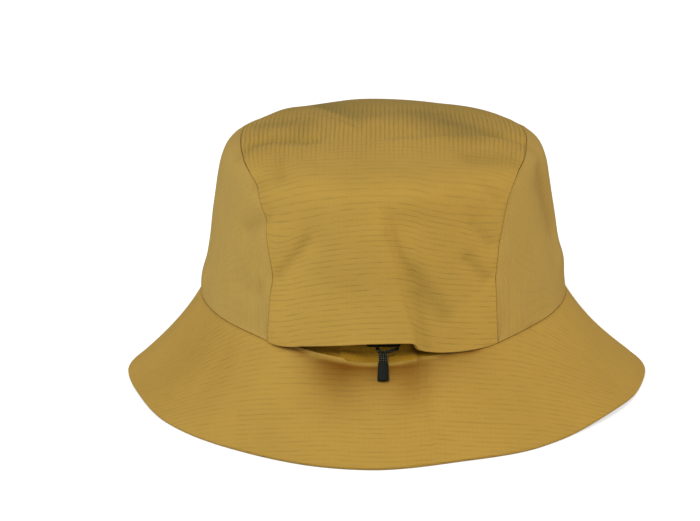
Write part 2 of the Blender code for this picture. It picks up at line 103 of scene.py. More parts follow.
# Folds of the crown: face, across 1, up 1, across 2, up 2, width, depth, edge (all shares, as in the frame)
CROWN_FOLDS = (
    ("back", 0.03, 0.62, 0.175, 0.02, 0.200, -0.034, 0.030),
    ("back", -0.05, 0.60, 0.090, 0.02, 0.100, 0.014, 0.0),
    ("back", -0.58, 0.32, -0.380, 0.58, 0.070, -0.014, 0.0),
    ("back", -0.40, 0.20, -0.250, 0.42, 0.130, 0.010, 0.0),
    ("back", 0.47, 0.66, 0.570, 0.50, 0.060, -0.010, 0.0),
    ("back", 0.45, 0.46, 0.540, 0.32, 0.060, -0.011, 0.0),
    ("back", -0.68, 0.79, -0.520, 0.89, 0.060, -0.011, 0.0),
    ("back", 0.30, 0.72, -0.100, 0.76, 0.120, -0.006, 0.0),
    ("front", -0.35, 0.20, 0.150, 0.48, 0.110, -0.013, 0.0),
    ("front", 0.50, 0.25, 0.380, 0.62, 0.090, -0.012, 0.0),
    ("front", -0.10, 0.72, 0.300, 0.80, 0.100, -0.008, 0.0),
    ("left", -0.54, 0.50, -0.640, 0.64, 0.070, -0.014, 0.0),
    ("left", -0.66, 0.20, -0.550, 0.24, 0.060, -0.010, 0.0),
    ("left", 0.10, 0.30, 0.350, 0.62, 0.110, -0.013, 0.0),
    ("left", -0.15, 0.09, 0.200, 0.10, 0.070, 0.015, 0.0),
    ("right", -0.27, 0.72, -0.180, 0.38, 0.100, -0.017, 0.0),
    ("right", 0.30, 0.28, 0.180, 0.60, 0.120, -0.012, 0.0),
    ("right", -0.15, 0.20, 0.200, 0.18, 0.070, 0.012, 0.0),
    ("top", -0.30, 0.28, 0.420, 0.22, 0.360, -0.022, 0.0),
    ("top", -0.30, 0.72, 0.340, 0.72, 0.280, -0.018, 0.0),
    ("top", -0.72, -0.14, -0.360, -0.24, 0.070, -0.009, 0.0),
    ("top", 0.40, -0.44, 0.740, -0.36, 0.080, 0.008, 0.0),
)

# Finer creases of the same kind, which only the cloth shows; the cloth also gets painted shade in them
DRAPE_FOLDS = (
    ("back", 0.02, 0.63, 0.110, 0.47, 0.034, -0.008, 0.0),
    ("back", 0.15, 0.42, 0.320, 0.18, 0.054, -0.016, 0.0),
    ("back", 0.17, 0.30, 0.205, 0.02, 0.040, -0.010, 0.0),
    ("back", -0.565, 0.335, -0.400, 0.57, 0.024, -0.011, 0.0),
    ("back", -0.73, 0.53, -0.620, 0.63, 0.026, -0.008, 0.0),
    ("back", -0.66, 0.21, -0.650, 0.28, 0.024, -0.007, 0.0),
    ("back", -0.70, 0.77, -0.540, 0.88, 0.035, -0.010, 0.0),
    ("back", 0.47, 0.64, 0.565, 0.51, 0.024, -0.008, 0.0),
    ("back", 0.44, 0.46, 0.545, 0.33, 0.028, -0.010, 0.0),
    ("back", 0.53, 0.84, 0.600, 0.74, 0.024, -0.007, 0.0),
    ("top", -0.77, -0.27, -0.670, -0.16, 0.060, -0.011, 0.0),
    ("top", -0.60, -0.13, -0.400, -0.24, 0.070, -0.013, 0.0),
    ("top", 0.58, -0.09, 0.840, -0.16, 0.060, -0.012, 0.0),
    ("top", 0.46, -0.47, 0.700, -0.39, 0.080, -0.010, 0.0),
    ("top", -0.18, -0.10, -0.360, 0.22, 0.110, 0.014, 0.02),
    ("top", 0.60, -0.12, 0.100, -0.30, 0.160, 0.013, 0.10),
    ("right", -0.22, 0.76, -0.160, 0.42, 0.070, -0.014, 0.0),
)

# Sags too shallow to shape, which are only painted shade on the cloth
PAINTED_SHADE_FOLDS = (
    ("top", -0.40, 0.54, -0.200, 0.08, 0.170, -0.022, 0.03),
    ("top", 0.24, 0.22, 0.420, -0.16, 0.170, -0.024, 0.0),
    ("top", 0.40, 0.05, 0.580, -0.05, 0.100, -0.012, 0.0),
    ("top", -0.50, 0.62, 0.500, 0.62, 0.420, -0.027, 0.0),
    ("top", -0.64, 0.12, -0.440, 0.10, 0.100, -0.018, 0.0),
    ("top", -0.43, 0.02, -0.460, -0.17, 0.050, -0.009, 0.0),
    ("top", 0.46, -0.47, 0.700, -0.39, 0.080, -0.007, 0.0),
    ("right", -0.30, 0.72, -0.260, 0.50, 0.100, -0.014, 0.0),
    ("back", -0.02, 0.16, 0.340, 0.30, 0.200, -0.004, 0.0),
)

# Folds of the brim: turn from the back in degrees, run, width in degrees, width in run, depth
BRIM_FOLDS = (
    (-9.5, 0.36, 4.0, 0.20, -0.040),
    (6.5, 0.34, 3.5, 0.18, -0.036),
    (-1.5, 0.32, 3.5, 0.22, 0.020),
    (-62.0, 0.60, 14.0, 0.35, -0.030),
    (48.0, 0.70, 12.0, 0.30, 0.024),
    (115.0, 0.60, 16.0, 0.35, -0.024),
    (-128.0, 0.65, 15.0, 0.35, 0.022),
)

# Finer folds of the brim, which only the cloth shows; the cloth also gets painted shade in them
DRAPE_BRIM_FOLDS = (
    (-12.5, 0.02, 6.0, 0.34, -0.080),
    (8.0, 0.06, 4.6, 0.34, -0.070),
    (-46.0, 0.35, 5.0, 0.30, -0.016),
    (30.0, 0.55, 4.0, 0.30, 0.012),
)

# Painted shade on the brim as well: in a sag at the left, and the painted shadow under the lip of the back
# opening (turn, share)
PAINTED_SHADE_BRIM_FOLDS = ((-64.0, 0.45, 15.0, 0.45, 0.15),)
PAINTED_LIP_SHADOW = (
    (-28.0, 0.00),
    (-24.0, 0.09),
    (-16.5, 0.50),
    (-10.0, 0.80),
    (3.5, 0.74),
    (10.0, 0.38),
    (17.0, 0.31),
    (24.0, 0.22),
    (31.0, 0.08),
    (38.0, 0.00),
)

# Waves of the rim off the surface: turn, width, lift; and swells of its outline: turn, width, out
RIM_WAVES = (
    (-70.0, 9.0, 0.025),
    (58.0, 10.0, 0.050),
    (165.0, 14.0, 0.040),
    (-150.0, 12.0, 0.035),
)
RIM_SWELLS = (
    (-119.0, 16.0, -0.188),
    (-76.0, 12.0, -0.036),
    (-44.0, 14.0, 0.032),
    (-14.0, 9.0, 0.040),
    (14.0, 9.0, -0.110),
    (44.0, 14.0, -0.061),
    (76.0, 12.0, -0.040),
    (119.0, 16.0, -0.188),
)

# Points of the grids: across and along a panel, round and down the brim, round a bar and the cord
CENTRE_GRID = (96, 236)
SIDE_GRID = (64, 120)
INNER_GRID = (150, 54)
BRIM_GRID = (420, 48)
BAR_SIDES = 40
CORD_SIDES = 24
CLOSE_ROWS = np.array([0.0, 0.10, 0.26, 0.50, 0.76])  # places of the closer rows at an edge, as shares
SEAM_END = 0.84  # roughly where the panel seams end on the flattened crown
FIT_STEPS = 40  # steps that find the exact place

# Lengths in metres
SLACK_WAVE = 0.055  # longest wave of a panel's slack
PUCKER_WAVE = 0.011  # longest wave of its puckers
PUCKER_PLACE = 0.0022  # how far they stand from the seam
PUCKER_WIDTH = 0.0026
WAVE_START = 0.002  # distance from an edge that the waves need to start
BRIM_SLACK_WAVE = 0.075
BRIM_PUCKER = (0.0025, 0.0028, 0.012)  # place, width and longest wave
BRIM_ROLL = 0.00015  # radius of the brim's neck edge
BRIM_BLEND = 0.004  # stretch that its neck edge is blended over
LIP_FALL = 0.0085  # how far the shadow under the lip reaches
FULL_SHADE_DEPTH = 0.0017  # depth of a crease that darkens the cloth in full
BRAID_PITCH = 0.0019  # repeat along the braid
BRAID_TURN = 0.00157  # repeat round it
RIM_WIDTHS = np.array([0.0004, 0.0008, 0.0012, 0.0016, 0.0026])  # strips of the folded rim
RIM_BENDS = np.radians([25.0, 50.0, 75.0, 90.0])

# Shares: painted shade in a full crease and in a crown seam, and what the brim's upper surface keeps of the
# cloth's colour under its even painted shade
CREASE_PAINTED_SHADE = 0.18
SEAM_PAINTED_SHADE = 0.08
BRIM_EVEN_SHADE_KEEP = 0.965

# How much a groove, and a shade of 1, take from red, green and blue
GROOVE_TONE = (1.15, 1.0, 0.8)
WARM_SHADE = (-0.80, -1.0, -1.25)
CROWN_SHADE = (-1.12, -1.0, -1.02)
SIDE_WEAVE_TURN = math.radians(38)

# Lights: name, place, size, colour (a little cooler at the left of the picture)
LIGHTS = (
    ("key light", (-0.36, -1.69, 1.65), 0.7, (1.0, 1.0, 1.0)),
    ("left side light", (-2.0, -0.7, 0.7), 1.3, (0.92, 1.0, 1.12)),
    ("right side light", (2.0, -0.7, 0.7), 1.3, (1.04, 1.0, 0.92)),
)
FLOOR_HALF = 8.0

# Kinds of sidebar settings
KINDS = {
    "length": (FloatProperty, {"precision": 4, "subtype": "DISTANCE", "unit": "LENGTH"}),
    "number": (FloatProperty, {}),
    "angle": (FloatProperty, {"subtype": "ANGLE", "unit": "ROTATION"}),
    "power": (FloatProperty, {"unit": "POWER"}),
    "colour": (FloatVectorProperty, {"size": 4, "subtype": "COLOR", "min": 0, "max": 1}),
    "count": (IntProperty, {}),
}


def properties(*rows):
    """Sidebar settings from rows of key, default, description and kind, a length in metres if none is given.
    A setting's name is its key with a space for each _."""
    made = {}
    for key, default, description, *kind in rows:
        prop, extra = KINDS[kind[0] if kind else "length"]
        name = key.replace("_", " ").title()
        made[key] = prop(name=name, default=default, description=description, **extra)
    return made


class HatSizes(bpy.types.PropertyGroup):
    """Sizes of the hat and its fittings."""

    __annotations__ = properties(
        ("head_half_width", 0.0843, "Half the width of the neck seam"),
        ("head_half_length", 0.1009, "Half the length of the neck seam"),
        ("head_oval_power", 1.9, "Fullness of the neck's oval, 2 for an ellipse", "number"),
        ("crown_height", 0.0813, "Height of the crown above the neck seam"),
        ("crown_shift", -0.0014, "How far the crown stands to the right of the brim"),
        ("crown_wall", 0.0012, "Thickness of the crown's cloth with its seam allowance"),
        ("brim_drop", 0.0404, "Height of the neck seam above the rim"),
        ("brim_reach_side", 0.0368, "How far the rim stands out at the sides"),
        ("brim_reach_back", 0.0376, "How far the rim stands out at back and front"),
        ("brim_oval_power", 1.85, "Fullness of the rim's oval", "number"),
        ("brim_flare_share", 0.42, "How hollow the brim's slope is", "number"),
        ("brim_wall", 0.0016, "Thickness of the brim's doubled cloth"),
        ("rim_edge", 0.0013, "Height of the rim's folded edge"),
        ("rim_flat", 0.0020, "Width of the flattened strip that the rim rests on"),
        ("hem_rise", 0.0093, "How far the back hem is above the neck seam"),
        ("neck_drop", 0.0049, "How far the neck seam sags at the back"),
        ("flap_stand", 0.0036, "How far the back hem stands off the head"),
        ("flap_length", 0.030, "Height of the stretch that stands off"),
        ("inner_height", 0.028, "Height of the inner panel at the back"),
        ("inner_wall", 0.0012, "Thickness of the inner panel"),
        ("pocket_depth", 0.0048, "How far the inner panel hangs back behind the hem"),
        ("lock_width", 0.0150, "Width of the cord lock"),
        ("lock_depth", 0.0034, "Depth of the cord lock, front to back"),
        ("lock_height", 0.0075, "Height of the cord lock"),
        ("lock_above_neck", 0.0024, "Height of the lock's underside above the neck seam"),
        ("cord_diameter", 0.0015, "Diameter of the braided cord"),
        ("cord_centre", 0.0002, "Middle between the cord's two strands"),
        ("cord_spread", 0.0043, "Half the distance between the strands at the lock"),
        ("tab_length", 0.0122, "Length of the pull tab with its neck"),
        ("tab_top_width", 0.0039, "Width of the pull tab at its top"),
        ("tab_end_width", 0.0049, "Width of the pull tab at its lower end"),
        ("tab_thickness", 0.0022, "Thickness of the pull tab"),
        ("tab_centre", -0.0016, "Place of the pull tab across the back"),
        ("tab_reach_share", 0.19, "Where the tab's end lies on the brim, 0 at the neck", "number"),
        ("piece_gap", 0.0003, "Gap between sewn pieces in the frame"),
        ("seam_gap", 0.00012, "Gap that shows between sewn pieces"),
        ("edge_roll", 0.00026, "How far the cloth turns in at a seam"),
        ("hem_roll", 0.00058, "Radius of a folded hem"),
        ("pucker_height", 0.00013, "Height of the puckers along the seams"),
        ("slack_height", 0.00032, "Height of the cloth's soft waves"),
    )


class ClothLook(bpy.types.PropertyGroup):
    """Colours and weave of the cloth, cord and fittings."""

    __annotations__ = properties(
        ("cloth_colour", (0.560, 0.338, 0.064, 1.0), "Colour of the mustard cloth", "colour"),
        # The inner colour is the mustard cloth darkened and browned: painted shade, as the inner panel sits
        # behind the back hem
        ("inner_colour", (0.395, 0.203, 0.014, 1.0), "Colour of the inner cloth", "colour"),
        ("cord_colour", (0.008, 0.0085, 0.006, 1.0), "Colour of the cord's dark yarn", "colour"),
        ("fleck_colour", (0.120, 0.130, 0.095, 1.0), "Colour of its pale yarn", "colour"),
        ("rubber_colour", (0.0105, 0.0115, 0.0075, 1.0), "Colour of the pull tab", "colour"),
        ("plastic_colour", (0.006, 0.007, 0.0045, 1.0), "Colour of the cord lock", "colour"),
        ("row_pitch", 0.00240, "Distance between the cloth's grooves along the weft"),
        ("rib_pitch", 0.00208, "Distance between the grooves across them"),
        ("rib_height", 0.00010, "Depth of the grooves between the raised squares"),
        ("streaks", 0.6, "How unevenly the grooves show, 0 to 1", "number"),
        ("roughness", 0.82, "Roughness of the cloth", "number"),
        ("sheen", 0.06, "Strength of the cloth's sheen", "number"),
    )


class StageLook(bpy.types.PropertyGroup):
    """Camera, floor and lights."""

    __annotations__ = properties(
        ("elevation", math.radians(16.6), "Angle of the camera above the floor", "angle"),
        ("distance", 1.7, "Distance from the camera to the hat's middle"),
        ("aim_height", 0.05, "Height of the point that the camera looks at"),
        ("focal_pixels", 3675.5, "Focal length in pixels of a 700 pixel wide picture", "number"),
        ("aim_x", 386.8, "Where that point is in the picture, from the left, in pixels", "number"),
        ("aim_y", 267.4, "Where that point is in the picture, from the top, in pixels", "number"),
        ("picture_width", 700, "Width of the picture in pixels", "count"),
        ("picture_height", 521, "Height of the picture in pixels", "count"),
        ("world_light", 0.34, "Strength of the even light from all round", "number"),
        ("key_light", 18.2, "Strength of the main light, above the camera, in watts", "power"),
        ("side_light_left", 16.0, "Strength of the weaker light at the left, in watts", "power"),
        ("side_light_right", 16.8, "Strength of the weaker light at the right, in watts", "power"),
    )


def smooth_table(rows, steps=24, mirror_last=False):
    """A smooth curve (Catmull-Rom) through the rows. mirror_last makes the last row the curve's middle."""
    rows = np.asarray(rows, float)
    before = 2 * rows[0] - rows[1]
    after = rows[-2] * (1, -1) if mirror_last else 2 * rows[-1] - rows[-2]
    points = np.vstack([before, rows, after])
    t = np.linspace(0, 1, steps, endpoint=False)[None, :, None]
    a, b, c, d = (points[k:len(points) - 3 + k, None, :] for k in range(4))
    bend = 2 * b + (c - a) * t + (2 * a - 5 * b + 4 * c - d) * t**2 + (3 * b - a - 3 * c + d) * t**3
    return np.vstack([bend.reshape(-1, rows.shape[1]) / 2, rows[-1:]])


def smooth_step(value, low, high):
    """0 below low, 1 above high, 3t^2 - 2t^3 between them."""
    t = np.clip((value - low) / (high - low), 0, 1)
    return t * t * (3 - 2 * t)


def oval(turn, half_width, half_length, power):
    """Radius of a superellipse at the angle turn: (|cos/a|^p + |sin/b|^p)^(-1/p)."""
    across = np.abs(np.cos(turn)) / half_width
    along = np.abs(np.sin(turn)) / half_length
    return (across**power + along**power) ** (-1 / power)


def from_back(turn):
    """Degrees from the back centre, to the right, from -180 to 180."""
    return (np.degrees(turn) + 270) % 360 - 180


def degrees_past(place, turn):
    """Degrees from a place to turn, the place given as from_back gives it, from -180 to 180."""
    return (from_back(turn) - place + 180) % 360 - 180


def normals_of(surface, p, q, step=2e-3):
    """Outward unit normals of surface(p, q), by central differences."""
    along_p = surface(p + step, q) - surface(p - step, q)
    along_q = surface(p, q + step) - surface(p, q - step)
    normal = np.cross(along_p, along_q)
    return normal / np.linalg.norm(normal, axis=-1, keepdims=True)


def soft_waves(x, y, longest, seed, count=7):
    """Gentle unevenness from -1 to 1: the mean of plane waves sin(kx x + ky y + phase) in seeded
    directions, with wavelengths from a third of longest up to longest."""
    rng = np.random.default_rng(seed)
    total = np.zeros(np.broadcast(x, y).shape)
    for share in np.linspace(0.33, 1.0, count):
        heading, phase = rng.uniform(0, 2 * math.pi, 2)
        wave = 2 * math.pi / (longest * share)
        total += share * np.sin(wave * (x * math.cos(heading) + y * math.sin(heading)) + phase)
    return total / 2.6


def edge_dense(count, edge):
    """Shares from 0 to 1, even but for five close rows within edge of each end."""
    close = CLOSE_ROWS * edge
    return np.concatenate([close, np.linspace(edge, 1 - edge, count), 1 - close[::-1]])


def arc_lengths(points, axis):
    """Distance along the grid's lines in the direction of axis, from their first point."""
    steps = np.linalg.norm(np.diff(points, axis=axis), axis=-1)
    pad = [(0, 0), (0, 0)]
    pad[axis] = (1, 0)
    return np.pad(np.cumsum(steps, axis=axis), pad)


def edge_distances(grid):
    """Distances on a grid along its two directions, then to the nearer end of each line."""
    across, down = arc_lengths(grid, 0), arc_lengths(grid, 1)
    return across, down, np.minimum(across, across[-1:] - across), np.minimum(down, down[:, -1:] - down)


def roll_in(distance, radius):
    """How far a surface turns in at a distance from its edge: a quarter circle of that radius."""
    rest = radius - np.minimum(distance, radius)
    return radius - np.sqrt(np.maximum(radius**2 - rest**2, 0))


class HatForm:
    """The hat's surfaces, from the sizes in the sidebar. The flattened crown is a disc: its centre is the
    top and its circle of radius 1 is the neck seam."""

    def __init__(self, sizes):
        self.s = sizes
        curve = smooth_table(CROWN_PROFILE, mirror_last=True)[::-1]
        mean_radius = (sizes.head_half_width + sizes.head_half_length) / 2
        steps = np.hypot(np.diff(curve[:, 0]) * sizes.crown_height, np.diff(curve[:, 1]) * mean_radius)
        arc = np.concatenate([[0], np.cumsum(steps)])
        self.crown_arc = np.interp(0, -curve[:, 0], arc)
        self.profile = np.column_stack([arc / self.crown_arc, curve])
        self.seam = smooth_table(PANEL_SEAM)
        self.edge = smooth_table(BACK_EDGE, 8)

    def plain_crown(self, p, q):
        """Share r = |(p, q)| gives reach and height from the profile; the reach scales the neck's oval."""
        s = self.s
        share, turn = np.hypot(p, q), np.arctan2(q, p)
        height = np.interp(share, self.profile[:, 0], self.profile[:, 1])
        reach = np.interp(share, self.profile[:, 0], self.profile[:, 2])
        radius = reach * oval(turn, s.head_half_width, s.head_half_length, s.head_oval_power)
        x = radius * np.cos(turn) + s.crown_shift
        return np.stack([x, radius * np.sin(turn), s.brim_drop + s.crown_height * height], -1)

    def crown_relief(self, p, q, rows=CROWN_FOLDS + DRAPE_FOLDS):
        """The sum of folds, each a ridge along a line: depth * exp(-(off/width)^2 - (past/0.8 width)^2)."""
        s = self.s
        place = self.plain_crown(p, q)
        x, y, z = place[..., 0] - s.crown_shift, place[..., 1], place[..., 2] - s.brim_drop
        across, along, up = x / s.head_half_width, y / s.head_half_length, z / s.crown_height
        faces = {
            "back": (x, z, smooth_step(-along, 0.15, 0.45), s.head_half_width, s.crown_height),
            "front": (x, z, smooth_step(along, 0.15, 0.45), s.head_half_width, s.crown_height),
            "left": (y, z, smooth_step(-across, 0.25, 0.55), s.head_half_length, s.crown_height),
            "right": (y, z, smooth_step(across, 0.25, 0.55), s.head_half_length, s.crown_height),
            "top": (x, y, smooth_step(up, 0.72, 0.90), s.head_half_width, s.head_half_length),
        }
        total = np.zeros(across.shape)
        for face, x1, y1, x2, y2, width, depth, edge in rows:
            side, rise, weight, wide, high = faces[face]
            run = np.array([(x2 - x1) * wide, (y2 - y1) * high])
            length = np.hypot(*run)
            from_x, from_y = side - x1 * wide, rise - y1 * high
            on = (from_x * run[0] + from_y * run[1]) / length
            off = (from_y * run[0] - from_x * run[1]) / length
            past = np.maximum(np.maximum(-on, on - length), 0)
            width = width * s.head_half_width
            spread = np.exp(-(off / width) ** 2 - (past / (width * 0.8)) ** 2)
            if edge > 0:
                half = edge * s.head_half_width / 2
                spread = spread * smooth_step(off, -half, half)
            total += weight * depth * s.crown_height * spread
        return total

    def crown_painted_shade(self, p, q):
        """Painted shade in the creases and sags: CREASE_PAINTED_SHADE where a finer crease, or a sag, is
        FULL_SHADE_DEPTH deep.
        """
        crease = np.clip(self.crown_relief(p, q, DRAPE_FOLDS) / -FULL_SHADE_DEPTH, 0, 1)
        sag = np.clip(self.crown_relief(p, q, PAINTED_SHADE_FOLDS) / -FULL_SHADE_DEPTH, 0, 2)
        return 1 - (1 - CREASE_PAINTED_SHADE * crease) * (1 - CREASE_PAINTED_SHADE * sag)

    def crown(self, p, q):
        relief = self.crown_relief(p, q)[..., None]
        return self.plain_crown(p, q) + normals_of(self.plain_crown, p, q) * relief

    def back_edge(self, across, column):
        return np.interp(across, self.edge[:, 0], self.edge[:, column])

    def flap(self, p, q):
        """The crown where the centre panel's free back hem stands off the head."""
        s = self.s
        place = self.plain_crown(p, q)
        across = (place[..., 0] - s.crown_shift) / s.head_half_width
        above = (np.hypot(p, q) - 1) * -self.crown_arc
        stand = s.flap_stand * self.back_edge(across, 3) * (1 - smooth_step(above, 0, s.flap_length))
        stand = stand * smooth_step(-q, 0.2, 0.5)
        return self.crown(p, q) + normals_of(self.plain_crown, p, q) * stand[..., None]

    def across_at(self, turn):
        s = self.s
        radius = oval(turn, s.head_half_width, s.head_half_length, s.head_oval_power)
        return np.cos(turn) * radius / s.head_half_width

    def at_back(self, turn, column):
        """A column of BACK_EDGE at that turn, 0 on the front half."""
        return self.back_edge(self.across_at(turn), column) * (np.sin(turn) < 0)

    def neck_share(self, turn):
        return 1 + self.s.neck_drop * self.at_back(turn, 1) / self.crown_arc

    def hem_share(self, turn, gap):
        rise = self.s.hem_rise * self.at_back(turn, 2)
        return self.neck_share(turn) - (rise + gap / 2) / self.crown_arc

    def seam_half_width(self, q):
        return np.interp(np.abs(q), self.seam[:, 0], self.seam[:, 1])

    def inset(self, gap):
        """Half of a seam's gap on the flattened crown."""
        return gap / 2 / min(self.s.head_half_width, self.s.head_half_length, self.crown_arc)

    def line_end(self, way, across, inset, edge):
        """Place along the crown, at the back (way -1) or front (way 1), where the line at that share across
        the centre panel meets edge(turn), found by repeated steps."""
        q = way * SEAM_END + across * 0
        for _ in range(FIT_STEPS):
            p = across * (self.seam_half_width(q) + inset)
            q = way * np.sqrt(edge(np.arctan2(q, p)) ** 2 - p**2)
        return q

    def neck_line(self, turn):
        share = self.neck_share(turn)
        return self.crown(share * np.cos(turn), share * np.sin(turn))

    def rim_bumps(self, turn, rows):
        total = np.zeros(np.shape(turn))
        for place, width, height in rows:
            off = degrees_past(place, turn)
            total = total + height * smooth_step(1 - np.abs(off) / (2 * width), 0, 1)
        return total

    def plain_brim(self, turn, run):
        """From the neck seam to the rim's oval: out = run + flare * run * (run - 1), and a straight drop."""
        s = self.s
        neck = self.neck_line(turn)
        radius = oval(turn, s.head_half_width + s.brim_reach_side, s.head_half_length + s.brim_reach_back,
                      s.brim_oval_power)
        radius = radius + s.brim_reach_side * self.rim_bumps(turn, RIM_SWELLS)
        out = run + s.brim_flare_share * run * (run - 1)
        x = neck[..., 0] + (radius * np.cos(turn) - neck[..., 0]) * out
        y = neck[..., 1] + (radius * np.sin(turn) - neck[..., 1]) * out
        low = neck[..., 2] - s.piece_gap / 2
        lift = s.brim_drop * self.rim_bumps(turn, RIM_WAVES) * run**2
        return np.stack([x, y, low + (s.rim_edge - low) * run + lift], -1)

    def brim_relief(self, turn, run, rows=BRIM_FOLDS + DRAPE_BRIM_FOLDS):
        total = np.zeros(np.broadcast(turn, run).shape)
        for place, middle, wide, long, depth in rows:
            off = degrees_past(place, turn)
            total += depth * self.s.brim_drop * np.exp(-(off / wide) ** 2 - ((run - middle) / long) ** 2)
        return total

    def brim_normals(self, turn, run):
        return -normals_of(self.plain_brim, turn, run)

    def brim(self, turn, run):
        relief = self.brim_relief(turn, run) * np.sin(math.pi * np.clip(run, 0, 1)) ** 0.7
        return self.plain_brim(turn, run) + self.brim_normals(turn, run) * relief[..., None]

    def pocket_place(self, side, up):
        """The inner panel: the crown's surface moved inwards, most in the middle of the back opening."""
        s = self.s
        reach = self.seam_half_width(SEAM_END) * 0.97
        turn = np.arctan2(-np.sqrt(1 - (side * reach) ** 2), side * reach)
        share = self.neck_share(turn) - (s.piece_gap / 2 + up * s.inner_height) / self.crown_arc
        p, q = share * np.cos(turn), share * np.sin(turn)
        belly = (1 - side**4) * smooth_step(up, 0, 0.16) * (1 - smooth_step(up, 0.40, 1))
        inwards = s.crown_wall + 1.5 * s.piece_gap + s.pocket_depth * belly
        return self.crown(p, q) - normals_of(self.plain_crown, p, q) * inwards[..., None]

    def lock_centre(self):
        s = self.s
        height = s.lock_above_neck + s.lock_height / 2
        wall = self.pocket_place(np.linspace(-0.3, 0.3, 41)[:, None], np.linspace(0, 0.8, 41)[None, :])
        near = np.abs(wall[..., 0] - s.crown_shift) < s.lock_width / 2 + 0.001
        near &= np.abs(wall[..., 2] - s.brim_drop - height) < s.lock_height / 2 + 0.001
        front = wall[..., 1][near].min()
        return np.array([s.crown_shift, front - s.piece_gap - s.lock_depth / 2, s.brim_drop + height])

    def tab_ends(self):
        """Top and lower middle points of the pull tab, which lies on the brim."""
        s = self.s
        edge, low = self.brim(math.radians(-90), np.array([0.0, s.tab_reach_share]))
        slope = (low - edge) / np.linalg.norm(low - edge)
        away = np.cross(slope, (1.0, 0.0, 0.0))
        lower = low + away * (s.tab_thickness / 2 + s.piece_gap)
        upper = lower - slope * s.tab_length
        upper[0] = lower[0] = s.tab_centre
        return upper, lower


def grid_quads(m, n, wrap_rows=False):
    """Corner indices of the quads of an m by n grid, and the same without wrapping, for UV maps."""
    rows = np.arange(m if wrap_rows else m - 1)[:, None]
    columns = np.arange(n - 1)[None, :]
    corners = np.stack([rows * n + columns, (rows + 1) * n + columns, (rows + 1) * n + columns + 1,
                        rows * n + columns + 1], -1).reshape(-1, 4)
    return corners % (m * n), corners


def facing_out(points, quads):
    """True where the closed surface's signed volume is over zero."""
    a, b, c, d = (points[quads[:, k]] for k in range(4))
    return (np.einsum("ij,ij->i", a, np.cross(b, c)) + np.einsum("ij,ij->i", a, np.cross(c, d))).sum() > 0


def mesh_object(name, points, faces, uvs, sharp_degrees=60, shade=None):
    """A smooth-shaded mesh object at the origin. uvs has one row per face corner, in metres, and shade one
    number per point, the painted shade that darkens the cloth there."""
    mesh = bpy.data.meshes.new(name)
    mesh.from_pydata(points.tolist(), [], [list(face) for face in faces])
    layer = mesh.uv_layers.new(name="weave")
    layer.uv.foreach_set("vector", np.asarray(uvs, np.float32).ravel())
    if shade is not None:
        layer = mesh.attributes.new("shade", "FLOAT", "POINT")
        layer.data.foreach_set("value", shade.astype(np.float32).ravel())
    mesh.shade_smooth()
    mesh.set_sharp_from_angle(angle=math.radians(sharp_degrees))
    if mesh.validate(verbose=False):
        raise RuntimeError(f"{name} has faults in its mesh")
    thing = bpy.data.objects.new(name, mesh)
    bpy.context.scene.collection.objects.link(thing)
    return thing


def finish_piece(thing, material, slot, *nodes):
    """Gives the piece its material and its body, and hides the frame nodes that it stands for."""
    thing.data.materials.append(material)
    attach(thing, BODY)
    if nodes:
        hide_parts(*nodes)


def seam_shade(distance, spread=0.0004):
    """Painted shade in a seam: 1 at the seam, falling off as exp(-(distance / spread)^2)."""
    return np.exp(-(distance / spread) ** 2)


def cloth_shell(name, outer, normals, wall, uv, roll, waves, shade):
    """A closed cloth panel: the outer grid moved along its normals by waves and rolled in at its edges, the
    same grid moved in by the wall, and a strip that joins their borders."""
    _, _, side, end = edge_distances(outer)
    near = np.minimum(side, end)
    turn_in, lift = roll_in(near, roll), waves * smooth_step(near, 0, WAVE_START)
    front = outer + normals * (lift - turn_in)[..., None]
    back = outer + normals * (lift - wall + turn_in)[..., None]
    m, n = outer.shape[:2]
    points = np.concatenate([front.reshape(-1, 3), back.reshape(-1, 3)])
    quads, _ = grid_quads(m, n)
    index = np.arange(m * n).reshape(m, n)
    border = np.concatenate([index[:-1, 0], index[-1, :-1], index[:0:-1, -1], index[0, :0:-1]])
    after = np.roll(border, -1)
    strip = np.column_stack([after, border, border + m * n, after + m * n])
    faces = np.concatenate([quads, quads[:, ::-1] + m * n, strip])
    if not facing_out(points, faces):
        faces = faces[:, ::-1]
    both = np.concatenate([uv.reshape(-1, 2)] * 2)
    return mesh_object(name, points, faces, both[faces.ravel()], shade=np.concatenate([shade.ravel()] * 2))


def pucker_rows(near, place, width):
    """1 where puckers stand off a seam, falling off to both sides as exp(-((near - place) / width)^2)."""
    return np.exp(-((near - place) / width) ** 2)


def panel_waves(sizes, outer, seed):
    """Slack of the cloth and puckers near its seams, in metres."""
    across, down, side, end = edge_distances(outer)
    x, y, z = outer[..., 0], outer[..., 1], outer[..., 2]
    slack = soft_waves(x + y * 0.6, z + y * 0.4, SLACK_WAVE, seed)
    pucker = 0
    for near, along, off, number in ((side, down, across, seed + 1), (end, across, down, seed + 2)):
        waves = soft_waves(along, off * 0.25, PUCKER_WAVE, number)
        pucker = pucker + pucker_rows(near, PUCKER_PLACE, PUCKER_WIDTH) * waves
    return sizes.slack_height * slack + sizes.pucker_height * pucker


def bar_along(name, path, widths, thicks, power):
    """A closed bar: at each point of a straight path a superellipse of that half width (along X) and half
    thickness, each end closed by a face."""
    run = (path[-1] - path[0]) / np.linalg.norm(path[-1] - path[0])
    right = np.array([1.0, 0.0, 0.0]) if abs(run[0]) < 0.9 else np.array([0.0, 1.0, 0.0])
    thick = np.cross(run, right)
    thick /= np.linalg.norm(thick)
    angle = np.linspace(0, 2 * math.pi, BAR_SIDES, endpoint=False)
    shape = np.stack([np.sign(np.cos(angle)) * np.abs(np.cos(angle)) ** (2 / power),
                      np.sign(np.sin(angle)) * np.abs(np.sin(angle)) ** (2 / power)], -1)
    points = path[None] + shape[:, None, :1] * widths[None, :, None] * right
    points = points + shape[:, None, 1:] * thicks[None, :, None] * thick
    return tube_object(name, points)


